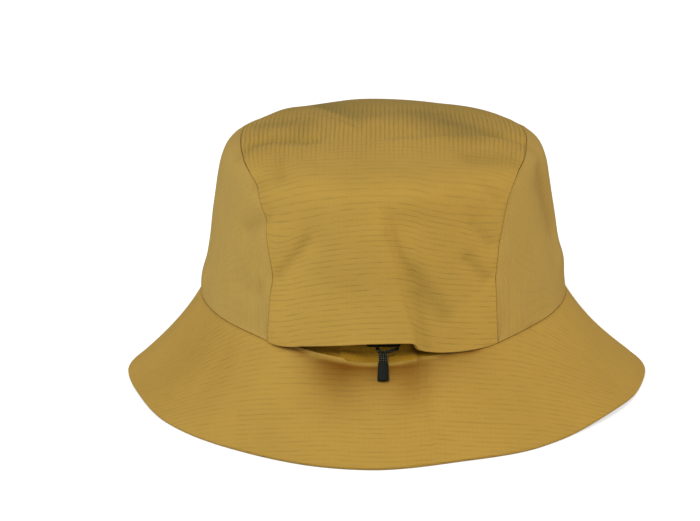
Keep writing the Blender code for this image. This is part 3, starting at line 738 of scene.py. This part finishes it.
def tube_object(name, rings):
    """A tube from rings[around, along], closed at both ends. Its UV map is (along, around) in metres."""
    m, n = rings.shape[:2]
    points = rings.reshape(-1, 3)
    quads, flat = grid_quads(m, n, wrap_rows=True)
    flip = not facing_out(points, quads)
    along = arc_lengths(rings, 1).mean(0)
    girth = np.linalg.norm(rings - np.roll(rings, 1, axis=0), axis=-1).sum(0).max()
    uv = np.stack(np.meshgrid(np.arange(m + 1) / m * girth, along, indexing="ij")[::-1], -1).reshape(-1, 2)
    ends = [np.arange(m) * n, np.arange(m)[::-1] * n + n - 1]
    if flip:
        quads, flat, ends = quads[:, ::-1], flat[:, ::-1], [end[::-1] for end in ends]
    end_uv = np.zeros((2 * m, 2))
    end_uv[m:, 0] = along[-1]
    faces = [list(face) for face in quads] + [list(end) for end in ends]
    return mesh_object(name, points, faces, np.concatenate([uv[flat.ravel()], end_uv]), 50)


def framed_tube(path, angle, radius):
    """Rings round a curved path: each ring stands across the path, and the rings don't twist."""
    tangents = np.gradient(path, axis=0)
    tangents /= np.linalg.norm(tangents, axis=1, keepdims=True)
    side = np.empty_like(path)
    side[0] = np.cross(tangents[0], (0.0, 1.0, 0.0))
    for k in range(1, len(path)):
        side[k] = side[k - 1] - tangents[k] * (side[k - 1] @ tangents[k])
    side /= np.linalg.norm(side, axis=1, keepdims=True)
    up = np.cross(tangents, side)
    ring = np.cos(angle)[..., None] * side[None] + np.sin(angle)[..., None] * up[None]
    return path[None] + radius[..., None] * ring


class Graph:
    """Adds nodes to a tree and joins them."""

    def __init__(self, tree):
        self.tree = tree

    def feed(self, node, inputs):
        """Links inputs of the node to sockets, or sets their own values."""
        for key, value in inputs.items():
            if isinstance(value, bpy.types.NodeSocket):
                self.tree.links.new(value, node.inputs[key])
            else:
                node.inputs[key].default_value = value

    def add(self, kind, inputs=None, **settings):
        node = self.tree.nodes.new(kind)
        for key, value in settings.items():
            setattr(node, key, value)
        self.feed(node, inputs or {})
        return node

    def math(self, operation, *values):
        return self.add("ShaderNodeMath", dict(enumerate(values)), operation=operation).outputs[0]

    def vector_math(self, operation, *values):
        return self.add("ShaderNodeVectorMath", dict(enumerate(values)), operation=operation).outputs[0]

    def split(self, vector):
        return self.add("ShaderNodeSeparateXYZ", {0: vector}).outputs

    def ramp(self, value, low, high, first, last):
        """From first at low to last at high in a straight line, and level beyond them."""
        return self.add("ShaderNodeMapRange", {0: value, 1: low, 2: high, 3: first, 4: last}).outputs[0]

    def noise(self, vector, scale, detail, output="Fac"):
        inputs = {"Vector": vector, "Scale": scale, "Detail": detail}
        return self.add("ShaderNodeTexNoise", inputs).outputs[output]

    def blend(self, amount, first, second):
        return self.add("ShaderNodeMix", {0: amount, 6: first, 7: second}, data_type="RGBA").outputs[2]

    def bump(self, height, distance):
        inputs = {"Height": height, "Strength": 1.0, "Distance": distance}
        return self.add("ShaderNodeBump", inputs).outputs[0]


def ripstop_group():
    """Fine grooves between raised squares, over plain weave. A groove is cos(pi x / pitch)^10 across its
    line. Noise that is stretched along the line makes it fade and come back, so that it reads as short
    streaks. Height is 1 on the squares, Groove about 1 in the grooves, and Drift a slow change of tone."""
    name = "ripstop weave"
    if name in bpy.data.node_groups:
        return bpy.data.node_groups[name]
    group = bpy.data.node_groups.new(name, "ShaderNodeTree")
    group.interface.new_socket(name="Vector", in_out="INPUT", socket_type="NodeSocketVector")
    for title, value in (("Row Pitch", 0.0024), ("Rib Pitch", 0.0021), ("Streaks", 0.6), ("Cross", 0.5)):
        socket = group.interface.new_socket(name=title, in_out="INPUT", socket_type="NodeSocketFloat")
        socket.default_value = value
    for title in ("Height", "Groove", "Drift"):
        group.interface.new_socket(name=title, in_out="OUTPUT", socket_type="NodeSocketFloat")
    g = Graph(group)
    given, out = g.add("NodeGroupInput").outputs, g.add("NodeGroupOutput")
    vector, streaks = given["Vector"], given["Streaks"]
    wander = g.vector_math("MULTIPLY", g.noise(vector, 60.0, 2.0, "Color"), (0.0006, 0.0006, 0.0))
    split = g.split(g.vector_math("ADD", vector, wander))
    lines = []
    for axis, pitch, stretch, change in ((1, "Row Pitch", (105.0, 480.0, 1.0), 6.0),
                                         (0, "Rib Pitch", (300.0, 60.0, 1.0), 2.6)):
        phase = g.math("MULTIPLY", g.math("DIVIDE", split[axis], given[pitch]), math.pi)
        groove = g.math("POWER", g.math("ABSOLUTE", g.math("COSINE", phase)), 10.0)
        uneven = g.math("SUBTRACT", g.noise(g.vector_math("MULTIPLY", vector, stretch), 1.0, 2.0), 0.5)
        uneven = g.math("MULTIPLY_ADD", uneven, g.math("MULTIPLY", streaks, change), 0.70)
        lines.append(g.math("MULTIPLY", groove, g.math("MAXIMUM", uneven, 0.0)))
    cross = g.math("MULTIPLY", lines[1], given["Cross"])
    groove = g.math("MINIMUM", g.math("MAXIMUM", lines[0], cross), 3.4)
    fine = [g.math("SINE", g.math("MULTIPLY", split[axis], 2 * math.pi / 0.00042)) for axis in (0, 1)]
    plain = g.math("MULTIPLY", g.math("MULTIPLY", *fine), 0.06)
    height = g.math("SUBTRACT", g.math("ADD", 1.0, plain), groove)
    g.feed(out, {"Height": height, "Groove": groove, "Drift": g.noise(vector, 24.0, 3.0)})
    return group


def empty_material(name):
    material = bpy.data.materials.new(name)
    material.use_nodes = True
    return material, Graph(material.node_tree), material.node_tree.nodes["Principled BSDF"]


def cloth_material(name, look, colour, weave_turn=0.0, cross=0.40, top_cross_shade=0.0, groove=0.115,
                   shade_tone=WARM_SHADE):
    """Matte ripstop cloth with a soft sheen. weave_turn turns the weave on the panel, in radians. The cross
    grooves show more by top_cross_shade within 24 mm of the top, where the cloth is drawn over the crown, and
    less from there to 45 mm: partly the weave, partly painted shade that darkens the top, where light grazes
    it. The attribute shade is painted shade, which darkens the cloth by shade_tone in red, green and blue."""
    material, g, shader = empty_material(name)
    place = g.add("ShaderNodeUVMap", uv_map="weave").outputs[0]
    if weave_turn:
        place = g.add("ShaderNodeVectorRotate", {"Vector": place, "Angle": weave_turn},
                      rotation_type="Z_AXIS").outputs[0]
    if top_cross_shade:
        down = g.math("ABSOLUTE", g.split(place)[1])
        cross = g.ramp(down, 0.024, 0.045, cross + top_cross_shade, cross)
    given = {"Vector": place, "Row Pitch": look.row_pitch, "Rib Pitch": look.rib_pitch,
             "Streaks": look.streaks, "Cross": cross}
    weave = g.add("ShaderNodeGroup", given, node_tree=ripstop_group()).outputs
    dark = tuple(c * (1 - groove * part) for c, part in zip(colour, GROOVE_TONE)) + (1.0,)
    tone = g.blend(weave["Groove"], colour, dark)
    drift = g.ramp(weave["Drift"], 0.3, 0.7, 0.96, 1.04)
    shade = g.add("ShaderNodeAttribute", attribute_name="shade").outputs["Fac"]
    shaded = g.vector_math("MULTIPLY_ADD", shade, shade_tone, (1.0, 1.0, 1.0))
    g.feed(shader, {
        "Base Color": g.vector_math("MULTIPLY", g.vector_math("MULTIPLY", tone, drift), shaded),
        "Normal": g.bump(weave["Height"], look.rib_height),
        "Roughness": look.roughness,
        "Specular IOR Level": 0.10,
        "Sheen Weight": look.sheen,
        "Sheen Roughness": 0.5,
        "Sheen Tint": (0.80, 0.72, 0.42, 1.0),
    })
    return material


def braid_material(name, look):
    """Dark yarn with pale flecks: two crossing spirals of yarn round the cord."""
    material, g, shader = empty_material(name)
    place = g.add("ShaderNodeUVMap", uv_map="weave").outputs[0]
    along, turn = (g.math("MULTIPLY", part, 2 * math.pi / repeat)
                   for part, repeat in zip(g.split(place), (BRAID_PITCH, BRAID_TURN)))
    yarns = [g.math("SINE", g.math(way, along, turn)) for way in ("ADD", "SUBTRACT")]
    crossing = g.math("MULTIPLY", *yarns)
    speckle = g.noise(g.vector_math("MULTIPLY", place, (1500.0, 1500.0, 1.0)), 1.0, 1.0)
    fleck = g.ramp(g.math("ADD", crossing, speckle), 0.85, 1.25, 0.0, 1.0)
    g.feed(shader, {
        "Base Color": g.blend(fleck, tuple(look.cord_colour), tuple(look.fleck_colour)),
        "Normal": g.bump(crossing, 0.00008),
        "Roughness": 0.8,
        "Specular IOR Level": 0.05,
    })
    return material


def moulded_material(name, colour, roughness, grain):
    """Moulded rubber or plastic: fine grain in the surface and slightly uneven gloss."""
    material, g, shader = empty_material(name)
    place = g.add("ShaderNodeTexCoord").outputs["Object"]
    broad = g.noise(place, 420.0, 2.0)
    dark, pale = (tuple(c * share for c in colour[:3]) + (1.0,) for share in (0.8, 1.25))
    g.feed(shader, {
        "Base Color": g.blend(broad, dark, pale),
        "Normal": g.bump(g.noise(place, 4200.0, 2.0), grain),
        "Roughness": g.ramp(broad, 0.3, 0.7, roughness - 0.06, roughness + 0.08),
        "Specular IOR Level": 0.07,
    })
    return material


def settings(context):
    """The sidebar's sizes and looks, and the form that the sizes give."""
    sizes = context.scene.hat_sizes
    return sizes, context.scene.hat_cloth, HatForm(sizes)


class HAT_OT_centre_panel(bpy.types.Operator):
    """Add the crown's centre panel, from the free back hem over the top to the front"""

    bl_idname = "hat.centre_panel"
    bl_label = "Crown Centre Panel"

    def execute(self, context):
        sizes, look, form = settings(context)
        columns = edge_dense(CENTRE_GRID[0], 0.012) * 2 - 1
        rows = edge_dense(CENTRE_GRID[1], 0.0045) * 2 - 1
        side, along = np.meshgrid(columns, rows, indexing="ij")
        inset = form.inset(sizes.seam_gap)
        end = np.zeros(side.shape)
        for way in (-1, 1):
            q = form.line_end(way, columns, -inset, lambda turn: form.hem_share(turn, sizes.seam_gap))
            end[np.sign(along) == way] = np.repeat(np.abs(q), (np.sign(rows) == way).sum())
        q = along * end
        p = side * (form.seam_half_width(q) - inset)
        outer, normals = form.flap(p, q), normals_of(form.flap, p, q)
        across, down, near, _ = edge_distances(outer)
        hem = (outer[:, :1, 0] - sizes.crown_shift) / sizes.head_half_width
        free = smooth_step(form.back_edge(hem, 3), 0, 0.3)
        # Painted shade along the seams, but not along the free back hem, and in the creases and sags
        seam = np.maximum.reduce([seam_shade(near), seam_shade(down) * (1 - free),
                                  seam_shade(down[:, -1:] - down)])
        shade = 1 - (1 - seam * SEAM_PAINTED_SHADE) * (1 - form.crown_painted_shade(p, q))
        uv = self.weave_map(across, down)
        panel = cloth_shell("crown_centre_cloth", outer, normals, sizes.crown_wall, uv, sizes.edge_roll,
                            panel_waves(sizes, outer, 11), shade)
        cloth = cloth_material("mustard ripstop, crown", look, tuple(look.cloth_colour), top_cross_shade=3.0,
                               shade_tone=CROWN_SHADE)
        finish_piece(panel, cloth, "cloth", "crown_centre_panel")
        return {"FINISHED"}

    def weave_map(self, across, down):
        """Metres from the panel's middle. The rows of the cloth follow the ends of the panel, and between 28
        and 90 mm from the top they are spread by 1 / (1 - 0.42)."""
        middle, top = down.shape[0] // 2, down.shape[1] // 2
        far = down - down[:, top, None]
        length = np.where(far < 0, -far[:, :1], far[:, -1:])
        even = (length[middle] - length) * smooth_step(np.abs(far) / length, 0.12, 0.9) * 0.8
        slack = (np.clip(np.abs(far), 0.028, 0.090) - 0.028) * 0.42
        return np.stack([across - across[middle], far + np.sign(far) * (even - slack)], -1)


class HAT_OT_side_panels(bpy.types.Operator):
    """Add the crown's two side panels, whose cloth is cut at a slant"""

    bl_idname = "hat.side_panels"
    bl_label = "Crown Side Panels"

    def execute(self, context):
        sizes, look, form = settings(context)
        # The side panels' colour is greyer than the cloth's: a painted sheen, as on cloth seen at a grazing
        # angle
        red, green, blue, alpha = look.cloth_colour
        colour = (red * 0.97, green * 1.02, blue * 1.25, alpha)
        cloth = cloth_material("mustard ripstop, side grain", look, colour, SIDE_WEAVE_TURN, cross=0.8,
                               groove=0.06)
        for name, hand in (("left", -1), ("right", 1)):
            p, q = self.grid(form, sizes, hand)
            outer, normals = form.flap(p, q), normals_of(form.flap, p, q)
            across, down, side, end = edge_distances(outer)
            uv = np.stack([down - down[:, SIDE_GRID[1] // 2, None], across], -1)
            # Painted shade along the seams and in the creases and sags
            shade = 1 - (1 - seam_shade(np.minimum(side, end)) * SEAM_PAINTED_SHADE) * (1 - form.crown_painted_shade(p, q))
            panel = cloth_shell(f"crown_side_cloth_{name}", outer, normals, sizes.crown_wall, uv,
                                sizes.edge_roll, panel_waves(sizes, outer, 31 + hand), shade)
            finish_piece(panel, cloth, "cloth", f"crown_side_panel_{name}")
        return {"FINISHED"}

    def grid(self, form, sizes, hand):
        """Straight lines on the flattened crown, from each place on the panel seam to one on the neck."""
        inset = form.inset(sizes.seam_gap)
        rows = edge_dense(SIDE_GRID[0], 0.010)[:, None]
        columns = edge_dense(SIDE_GRID[1], 0.005)[None, :]

        def neck(turn):
            turn = np.arctan2(np.sin(turn), hand * np.cos(turn))
            return form.neck_share(turn) - sizes.seam_gap / 2 / form.crown_arc

        ends = [form.line_end(way, 1.0, inset, neck) for way in (-1, 1)]
        seam_q = ends[0] + (ends[1] - ends[0]) * columns
        seam_p = form.seam_half_width(seam_q) + inset
        first, last = math.atan2(ends[0], seam_p[0, 0]), math.atan2(ends[1], seam_p[0, -1])
        turn = first + (last - first) * columns
        p = hand * (seam_p + (neck(turn) * np.cos(turn) - seam_p) * rows)
        return p, seam_q + (neck(turn) * np.sin(turn) - seam_q) * rows


class HAT_OT_brim(bpy.types.Operator):
    """Add the brim, one ring of doubled cloth from the neck seam to the folded rim"""

    bl_idname = "hat.brim"
    bl_label = "Brim"

    def execute(self, context):
        sizes, look, form = settings(context)
        even = np.linspace(-math.pi, math.pi, BRIM_GRID[0], endpoint=False)[:, None]
        turns = even - 0.30 * np.sin(even) - math.pi / 2
        runs = np.concatenate([CLOSE_ROWS * 0.012, np.linspace(0.012, 1, BRIM_GRID[1])])[None, :]
        open_back = smooth_step(form.at_back(turns, 2), 0.0, 0.08)
        plain = form.brim(turns, runs)
        around, slant = arc_lengths(plain, 0)[:, :1] + runs * 0, arc_lengths(plain, 1)
        section = self.section(sizes, plain, form.brim_normals(turns, runs), around, slant, open_back)
        m, n = section.shape[:2]
        uv = self.weave_map(sizes, turns, slant)
        quads, full = grid_quads(m, n + 1, wrap_rows=True)
        column = quads % (n + 1)
        quads = quads // (n + 1) * n + column % n
        points = section.reshape(-1, 3)
        if not facing_out(points, quads):
            quads, full = quads[:, ::-1], full[:, ::-1]
        shade = np.zeros((m, n))
        shade[:, :slant.shape[1]] = self.shade(form, turns, runs, slant, open_back)
        brim = mesh_object("brim_cloth", points, quads, uv[full.ravel()], shade=shade)
        cloth = cloth_material("mustard ripstop", look, tuple(look.cloth_colour), top_cross_shade=3.0)
        finish_piece(brim, cloth, "cloth", "brim")
        return {"FINISHED"}

    def section(self, sizes, plain, normals, around, slant, open_back):
        """Rings of points: the upper surface with slack and puckers, the folded rim, the strip that it rests
        on, and the underside, whose neck edge rises to a thin lip at the back opening."""
        place, width, longest = BRIM_PUCKER
        waves = sizes.slack_height * 1.2 * soft_waves(plain[..., 0], plain[..., 1], BRIM_SLACK_WAVE, 71)
        pucker = pucker_rows(slant, place, width) * soft_waves(around, slant * 0.25, longest, 72)
        fade = smooth_step(slant, 0, 0.003) * smooth_step(slant[:, -1:] - slant, 0, 0.006)
        lift = (waves + sizes.pucker_height * pucker) * fade
        at_neck = 1 - smooth_step(slant, 0, BRIM_BLEND)
        outer = plain + normals * (lift - roll_in(slant, BRIM_ROLL))[..., None]
        outer[..., 2] += (sizes.piece_gap - sizes.seam_gap) / 2 * at_neck
        under = plain + normals * (lift - sizes.brim_wall + roll_in(slant, BRIM_ROLL))[..., None]
        lip = open_back * (0.0004 + 0.0011 * (1 - smooth_step(plain[:, :1, 0], -0.0195, -0.0178)))
        under[..., 2] += (normals[..., 2] * sizes.brim_wall + lip) * at_neck
        rim = plain[:, -1:]
        inwards = -rim[..., :2] / np.linalg.norm(rim[..., :2], axis=-1, keepdims=True)
        edge = np.repeat(rim, len(RIM_BENDS), axis=1)
        edge[..., :2] += inwards * (1 - np.cos(RIM_BENDS))[:, None] * sizes.rim_edge * 0.55
        edge[..., 2] -= sizes.rim_edge * np.sin(RIM_BENDS)
        flat = rim.copy()
        flat[..., :2] += inwards * sizes.rim_flat
        flat[..., 2] = edge[:, -1:, 2]
        return np.concatenate([outer, edge, flat, under[:, -4::-1]], axis=1)

    def weave_map(self, sizes, turns, slant):
        """The brim rolled out flat as part of a cone, with its middle at the back. The first row and column
        come again at the end."""
        cone = np.concatenate([slant, slant[:, -1:] + RIM_WIDTHS, slant[:, -4::-1], slant[:, :1]], axis=1)
        flare = sizes.brim_reach_side / math.hypot(sizes.brim_reach_side, sizes.brim_drop)
        far = (sizes.head_half_width + sizes.head_half_length) / 2 / flare + cone
        unrolled = np.radians(from_back(turns)) * flare
        uv = np.stack([far * np.sin(unrolled), -far * np.cos(unrolled)], -1)
        return np.concatenate([uv, uv[:1] * (-1, 1)]).reshape(-1, 2)

    def shade(self, form, turns, runs, slant, open_back):
        """Painted shade on the upper surface, over an even painted shade: in the finer folds, in the sag, as
        a painted shadow under the lip of the back opening and in the neck seam, most at the ends of the
        opening."""
        hollow = np.clip(form.brim_relief(turns, runs, DRAPE_BRIM_FOLDS) / -0.0026, 0, 1) * 0.3
        sag = form.brim_relief(turns, runs, PAINTED_SHADE_BRIM_FOLDS) / form.s.brim_drop
        table = smooth_table(PAINTED_LIP_SHADOW, 8)
        lip = np.interp(from_back(turns), table[:, 0], table[:, 1], left=0, right=0)
        lip = lip * np.exp(-slant / LIP_FALL) * smooth_step(slant, 0.0, 0.0010)
        past = np.abs(degrees_past(-3.0, turns))
        ends = smooth_step(past, 15, 19) * (1 - smooth_step(past, 26, 32))
        # Painted shadow along the neck seam where the back is closed, wider and darker at the ends of the
        # back opening
        neck_seam_shade = seam_shade(slant, 0.0005 + 0.0006 * ends) * (0.3 * (1 - open_back) + 0.5 * ends)
        return 1 - BRIM_EVEN_SHADE_KEEP * (1 - neck_seam_shade) * (1 - hollow) * (1 - sag) * (1 - lip)


class HAT_OT_inner_panel(bpy.types.Operator):
    """Add the inner cloth that shows in the gap between the back hem and the brim"""

    bl_idname = "hat.inner_panel"
    bl_label = "Back Inner Panel"

    def execute(self, context):
        sizes, look, form = settings(context)
        sides = (edge_dense(INNER_GRID[0], 0.006) * 2 - 1)[:, None]
        ups = edge_dense(INNER_GRID[1], 0.02)[None, :] * 1.085 - 0.085
        outer = form.pocket_place(sides, ups)
        normals = normals_of(form.pocket_place, sides, ups, 1e-3)
        x = outer[..., 0] - sizes.crown_shift
        fold = 0.0010 * smooth_step(x, -0.0192, -0.0178) * (1 - smooth_step(x, -0.0165, -0.0070))
        waves = fold + 0.0005 * soft_waves(outer[..., 0], outer[..., 2] * 0.4, 0.022, 91)
        across, down = arc_lengths(outer, 0), arc_lengths(outer, 1)
        uv = np.stack([across, down], -1)
        panel = cloth_shell("back_inner_cloth", outer, normals, sizes.inner_wall, uv, sizes.edge_roll,
                            waves * smooth_step(ups, 0.0, 0.1), across * 0)
        cloth = cloth_material("inner cloth", look, tuple(look.inner_colour), cross=0.8, groove=0.12)
        finish_piece(panel, cloth, "inner_cloth", "back_inner_panel")
        return {"FINISHED"}


class HAT_OT_cord_lock(bpy.types.Operator):
    """Add the cord lock under the back hem"""

    bl_idname = "hat.cord_lock"
    bl_label = "Cord Lock"

    def execute(self, context):
        sizes, look, form = settings(context)
        share = np.linspace(0, 1, 41)
        path = form.lock_centre() + np.outer(share - 0.5, (sizes.lock_width, 0, 0))
        round_off = roll_in(np.minimum(share, 1 - share) * sizes.lock_width, 0.0009)
        lock = bar_along("cord_lock_body", path, sizes.lock_depth / 2 - round_off,
                         sizes.lock_height / 2 - round_off, 5.0)
        plastic = moulded_material("lock plastic", tuple(look.plastic_colour), 0.5, 0.00001)
        finish_piece(lock, plastic, "lock_plastic", "cord_lock")
        return {"FINISHED"}


class HAT_OT_pull_cord(bpy.types.Operator):
    """Add the braided loop between the cord lock and the pull tab"""

    bl_idname = "hat.pull_cord"
    bl_label = "Pull Cord"

    def execute(self, context):
        sizes, look, form = settings(context)
        lock = form.lock_centre()
        upper, lower = form.tab_ends()
        slope = (upper - lower) / np.linalg.norm(upper - lower)
        bottom = upper + slope * (sizes.piece_gap + sizes.cord_diameter / 2)
        front = lock[1] - sizes.lock_depth / 2 + sizes.cord_diameter / 2
        top = lock[2] - sizes.lock_height / 2 - sizes.piece_gap
        knee = (front * 0.3 + bottom[1] * 0.7, top * 0.5 + bottom[2] * 0.5)
        halves = []
        for hand in (-1, 1):
            start = sizes.cord_centre + hand * sizes.cord_spread
            halves.append([(start, front, top), (start, front, top - sizes.cord_diameter * 0.5),
                           (bottom[0] * 0.3 + start * 0.7, *knee),
                           (bottom[0] + hand * sizes.tab_top_width * 0.32, bottom[1], bottom[2])])
        path = smooth_table(halves[0] + halves[1][::-1], 18)
        along = arc_lengths(path[None], 1)[0]
        angle = np.linspace(0, 2 * math.pi, CORD_SIDES, endpoint=False)[:, None]
        spiral = 2 * math.pi * along[None, :] / BRAID_PITCH
        yarn = np.sin(spiral + 2 * angle) * np.sin(spiral - 2 * angle)
        radius = sizes.cord_diameter / 2 * (0.95 + 0.06 * yarn)
        cord = tube_object("pull_cord_braid", framed_tube(path, angle, radius))
        finish_piece(cord, braid_material("flecked braid", look), "cord", "pull_cord")
        return {"FINISHED"}


class HAT_OT_pull_tab(bpy.types.Operator):
    """Add the pull tab: a braided neck and a moulded rubber body that lies on the brim"""

    bl_idname = "hat.pull_tab"
    bl_label = "Pull Tab"

    def execute(self, context):
        sizes, look, form = settings(context)
        upper, lower = form.tab_ends()
        neck_end = 0.31
        share = np.linspace(neck_end, 1, 60)
        inside = np.minimum(share - neck_end, 1 - share) * sizes.tab_length
        corner = np.where(share > 0.7, 0.0008, 0.0004)
        width = (sizes.tab_top_width + (sizes.tab_end_width - sizes.tab_top_width) * share) / 2 * 1.06
        thick = sizes.tab_thickness / 2 - roll_in(inside, corner * 0.7)
        body = bar_along("pull_tab_rubber", upper + np.outer(share, lower - upper),
                         width - roll_in(inside, corner), thick, 3.4)
        rubber = moulded_material("tab rubber", tuple(look.rubber_colour), 0.48, 0.000012)
        finish_piece(body, rubber, "tab_rubber", "pull_tab")
        share = np.linspace(-0.03, neck_end + 0.02, 40)
        start = share - share[0]
        width = sizes.tab_top_width / 2 * (0.80 + 0.22 * smooth_step(start, 0, 0.12))
        thick = sizes.tab_thickness / 2 * (0.75 + 0.1 * smooth_step(start, 0, 0.14))
        neck = bar_along("pull_tab_neck", upper + np.outer(share, lower - upper), width, thick, 2.3)
        finish_piece(neck, bpy.data.materials["flecked braid"], "cord")
        return {"FINISHED"}


class HAT_OT_stage(bpy.types.Operator):
    """Add the camera, the pale floor and the soft studio lights"""

    bl_idname = "hat.stage"
    bl_label = "Camera, Floor and Lights"

    def execute(self, context):
        scene, stage = context.scene, context.scene.hat_stage
        aim = Vector((0, 0, stage.aim_height))
        camera = self.placed("camera", bpy.data.cameras.new("camera"), scene)
        back = Vector((0, -math.cos(stage.elevation), math.sin(stage.elevation)))
        camera.location = aim + back * stage.distance
        camera.rotation_euler = (math.pi / 2 - stage.elevation, 0, 0)
        lens, wide = camera.data, stage.picture_width
        lens.sensor_fit = "HORIZONTAL"
        lens.lens = stage.focal_pixels / wide * lens.sensor_width
        lens.shift_x = (wide / 2 - stage.aim_x) / wide
        lens.shift_y = (stage.aim_y - stage.picture_height / 2) / wide
        scene.camera = camera
        scene.view_settings.view_transform = "Standard"

        mesh = bpy.data.meshes.new("floor")
        corners = [(x * FLOOR_HALF, y * FLOOR_HALF, 0) for x, y in ((-1, -1), (1, -1), (1, 1), (-1, 1))]
        mesh.from_pydata(corners, [], [(0, 1, 2, 3)])
        floor = self.placed("floor", mesh, scene)
        floor.location.z = -0.0002
        pale, g, shader = empty_material("pale floor")
        seen = g.add("ShaderNodeLightPath").outputs["Is Camera Ray"]
        g.feed(shader, {
            "Base Color": g.blend(seen, (0.45, 0.45, 0.45, 1), (0.86, 0.86, 0.86, 1)),
            "Emission Color": (1, 1, 1, 1),
            "Emission Strength": g.math("MULTIPLY", seen, 0.58),
            "Roughness": 0.9,
            "Specular IOR Level": 0.0,
        })
        mesh.materials.append(pale)

        scene.world = bpy.data.worlds.new("studio")
        scene.world.use_nodes = True
        tree = scene.world.node_tree
        Graph(tree).feed(tree.nodes["Background"], {"Color": (1, 1, 1, 1), "Strength": stage.world_light})
        powers = (stage.key_light, stage.side_light_left, stage.side_light_right)
        for (name, place, size, colour), power in zip(LIGHTS, powers):
            light = bpy.data.lights.new(name, "AREA")
            light.size, light.energy, light.color = size, power, colour
            lamp = self.placed(name, light, scene)
            lamp.location = place
            lamp.rotation_euler = (aim - Vector(place)).to_track_quat("-Z", "Y").to_euler()
        return {"FINISHED"}

    def placed(self, name, data, scene):
        thing = bpy.data.objects.new(name, data)
        scene.collection.objects.link(thing)
        return thing


PIECES = (
    HAT_OT_stage,
    HAT_OT_centre_panel,
    HAT_OT_side_panels,
    HAT_OT_brim,
    HAT_OT_inner_panel,
    HAT_OT_cord_lock,
    HAT_OT_pull_cord,
    HAT_OT_pull_tab,
)


class HAT_PT_pieces(bpy.types.Panel):
    """The hat's pieces and sizes, in the 3D view's sidebar"""

    bl_idname = "HAT_PT_pieces"
    bl_label = "Rain Bucket Hat"
    bl_space_type = "VIEW_3D"
    bl_region_type = "UI"
    bl_category = "Hat"

    def draw(self, context):
        column = self.layout.column()
        for piece in PIECES:
            column.operator(piece.bl_idname)
        for group in (context.scene.hat_sizes, context.scene.hat_cloth, context.scene.hat_stage):
            box = column.box()
            for key in group.bl_rna.properties.keys():
                if key not in ("rna_type", "name"):
                    box.prop(group, key)


CLASSES = (HatSizes, ClothLook, StageLook, *PIECES, HAT_PT_pieces)
GROUPS = {"hat_sizes": HatSizes, "hat_cloth": ClothLook, "hat_stage": StageLook}


def register():
    for each in CLASSES:
        bpy.utils.register_class(each)
    for name, group in GROUPS.items():
        setattr(bpy.types.Scene, name, PointerProperty(type=group))


def unregister():
    for name in GROUPS:
        delattr(bpy.types.Scene, name)
    for each in reversed(CLASSES):
        bpy.utils.unregister_class(each)


def main():
    """Builds the stage and every piece."""
    register()
    for piece in PIECES:
        family, name = piece.bl_idname.split(".")
        getattr(getattr(bpy.ops, family), name)()


if __name__ == "__main__":
    main()
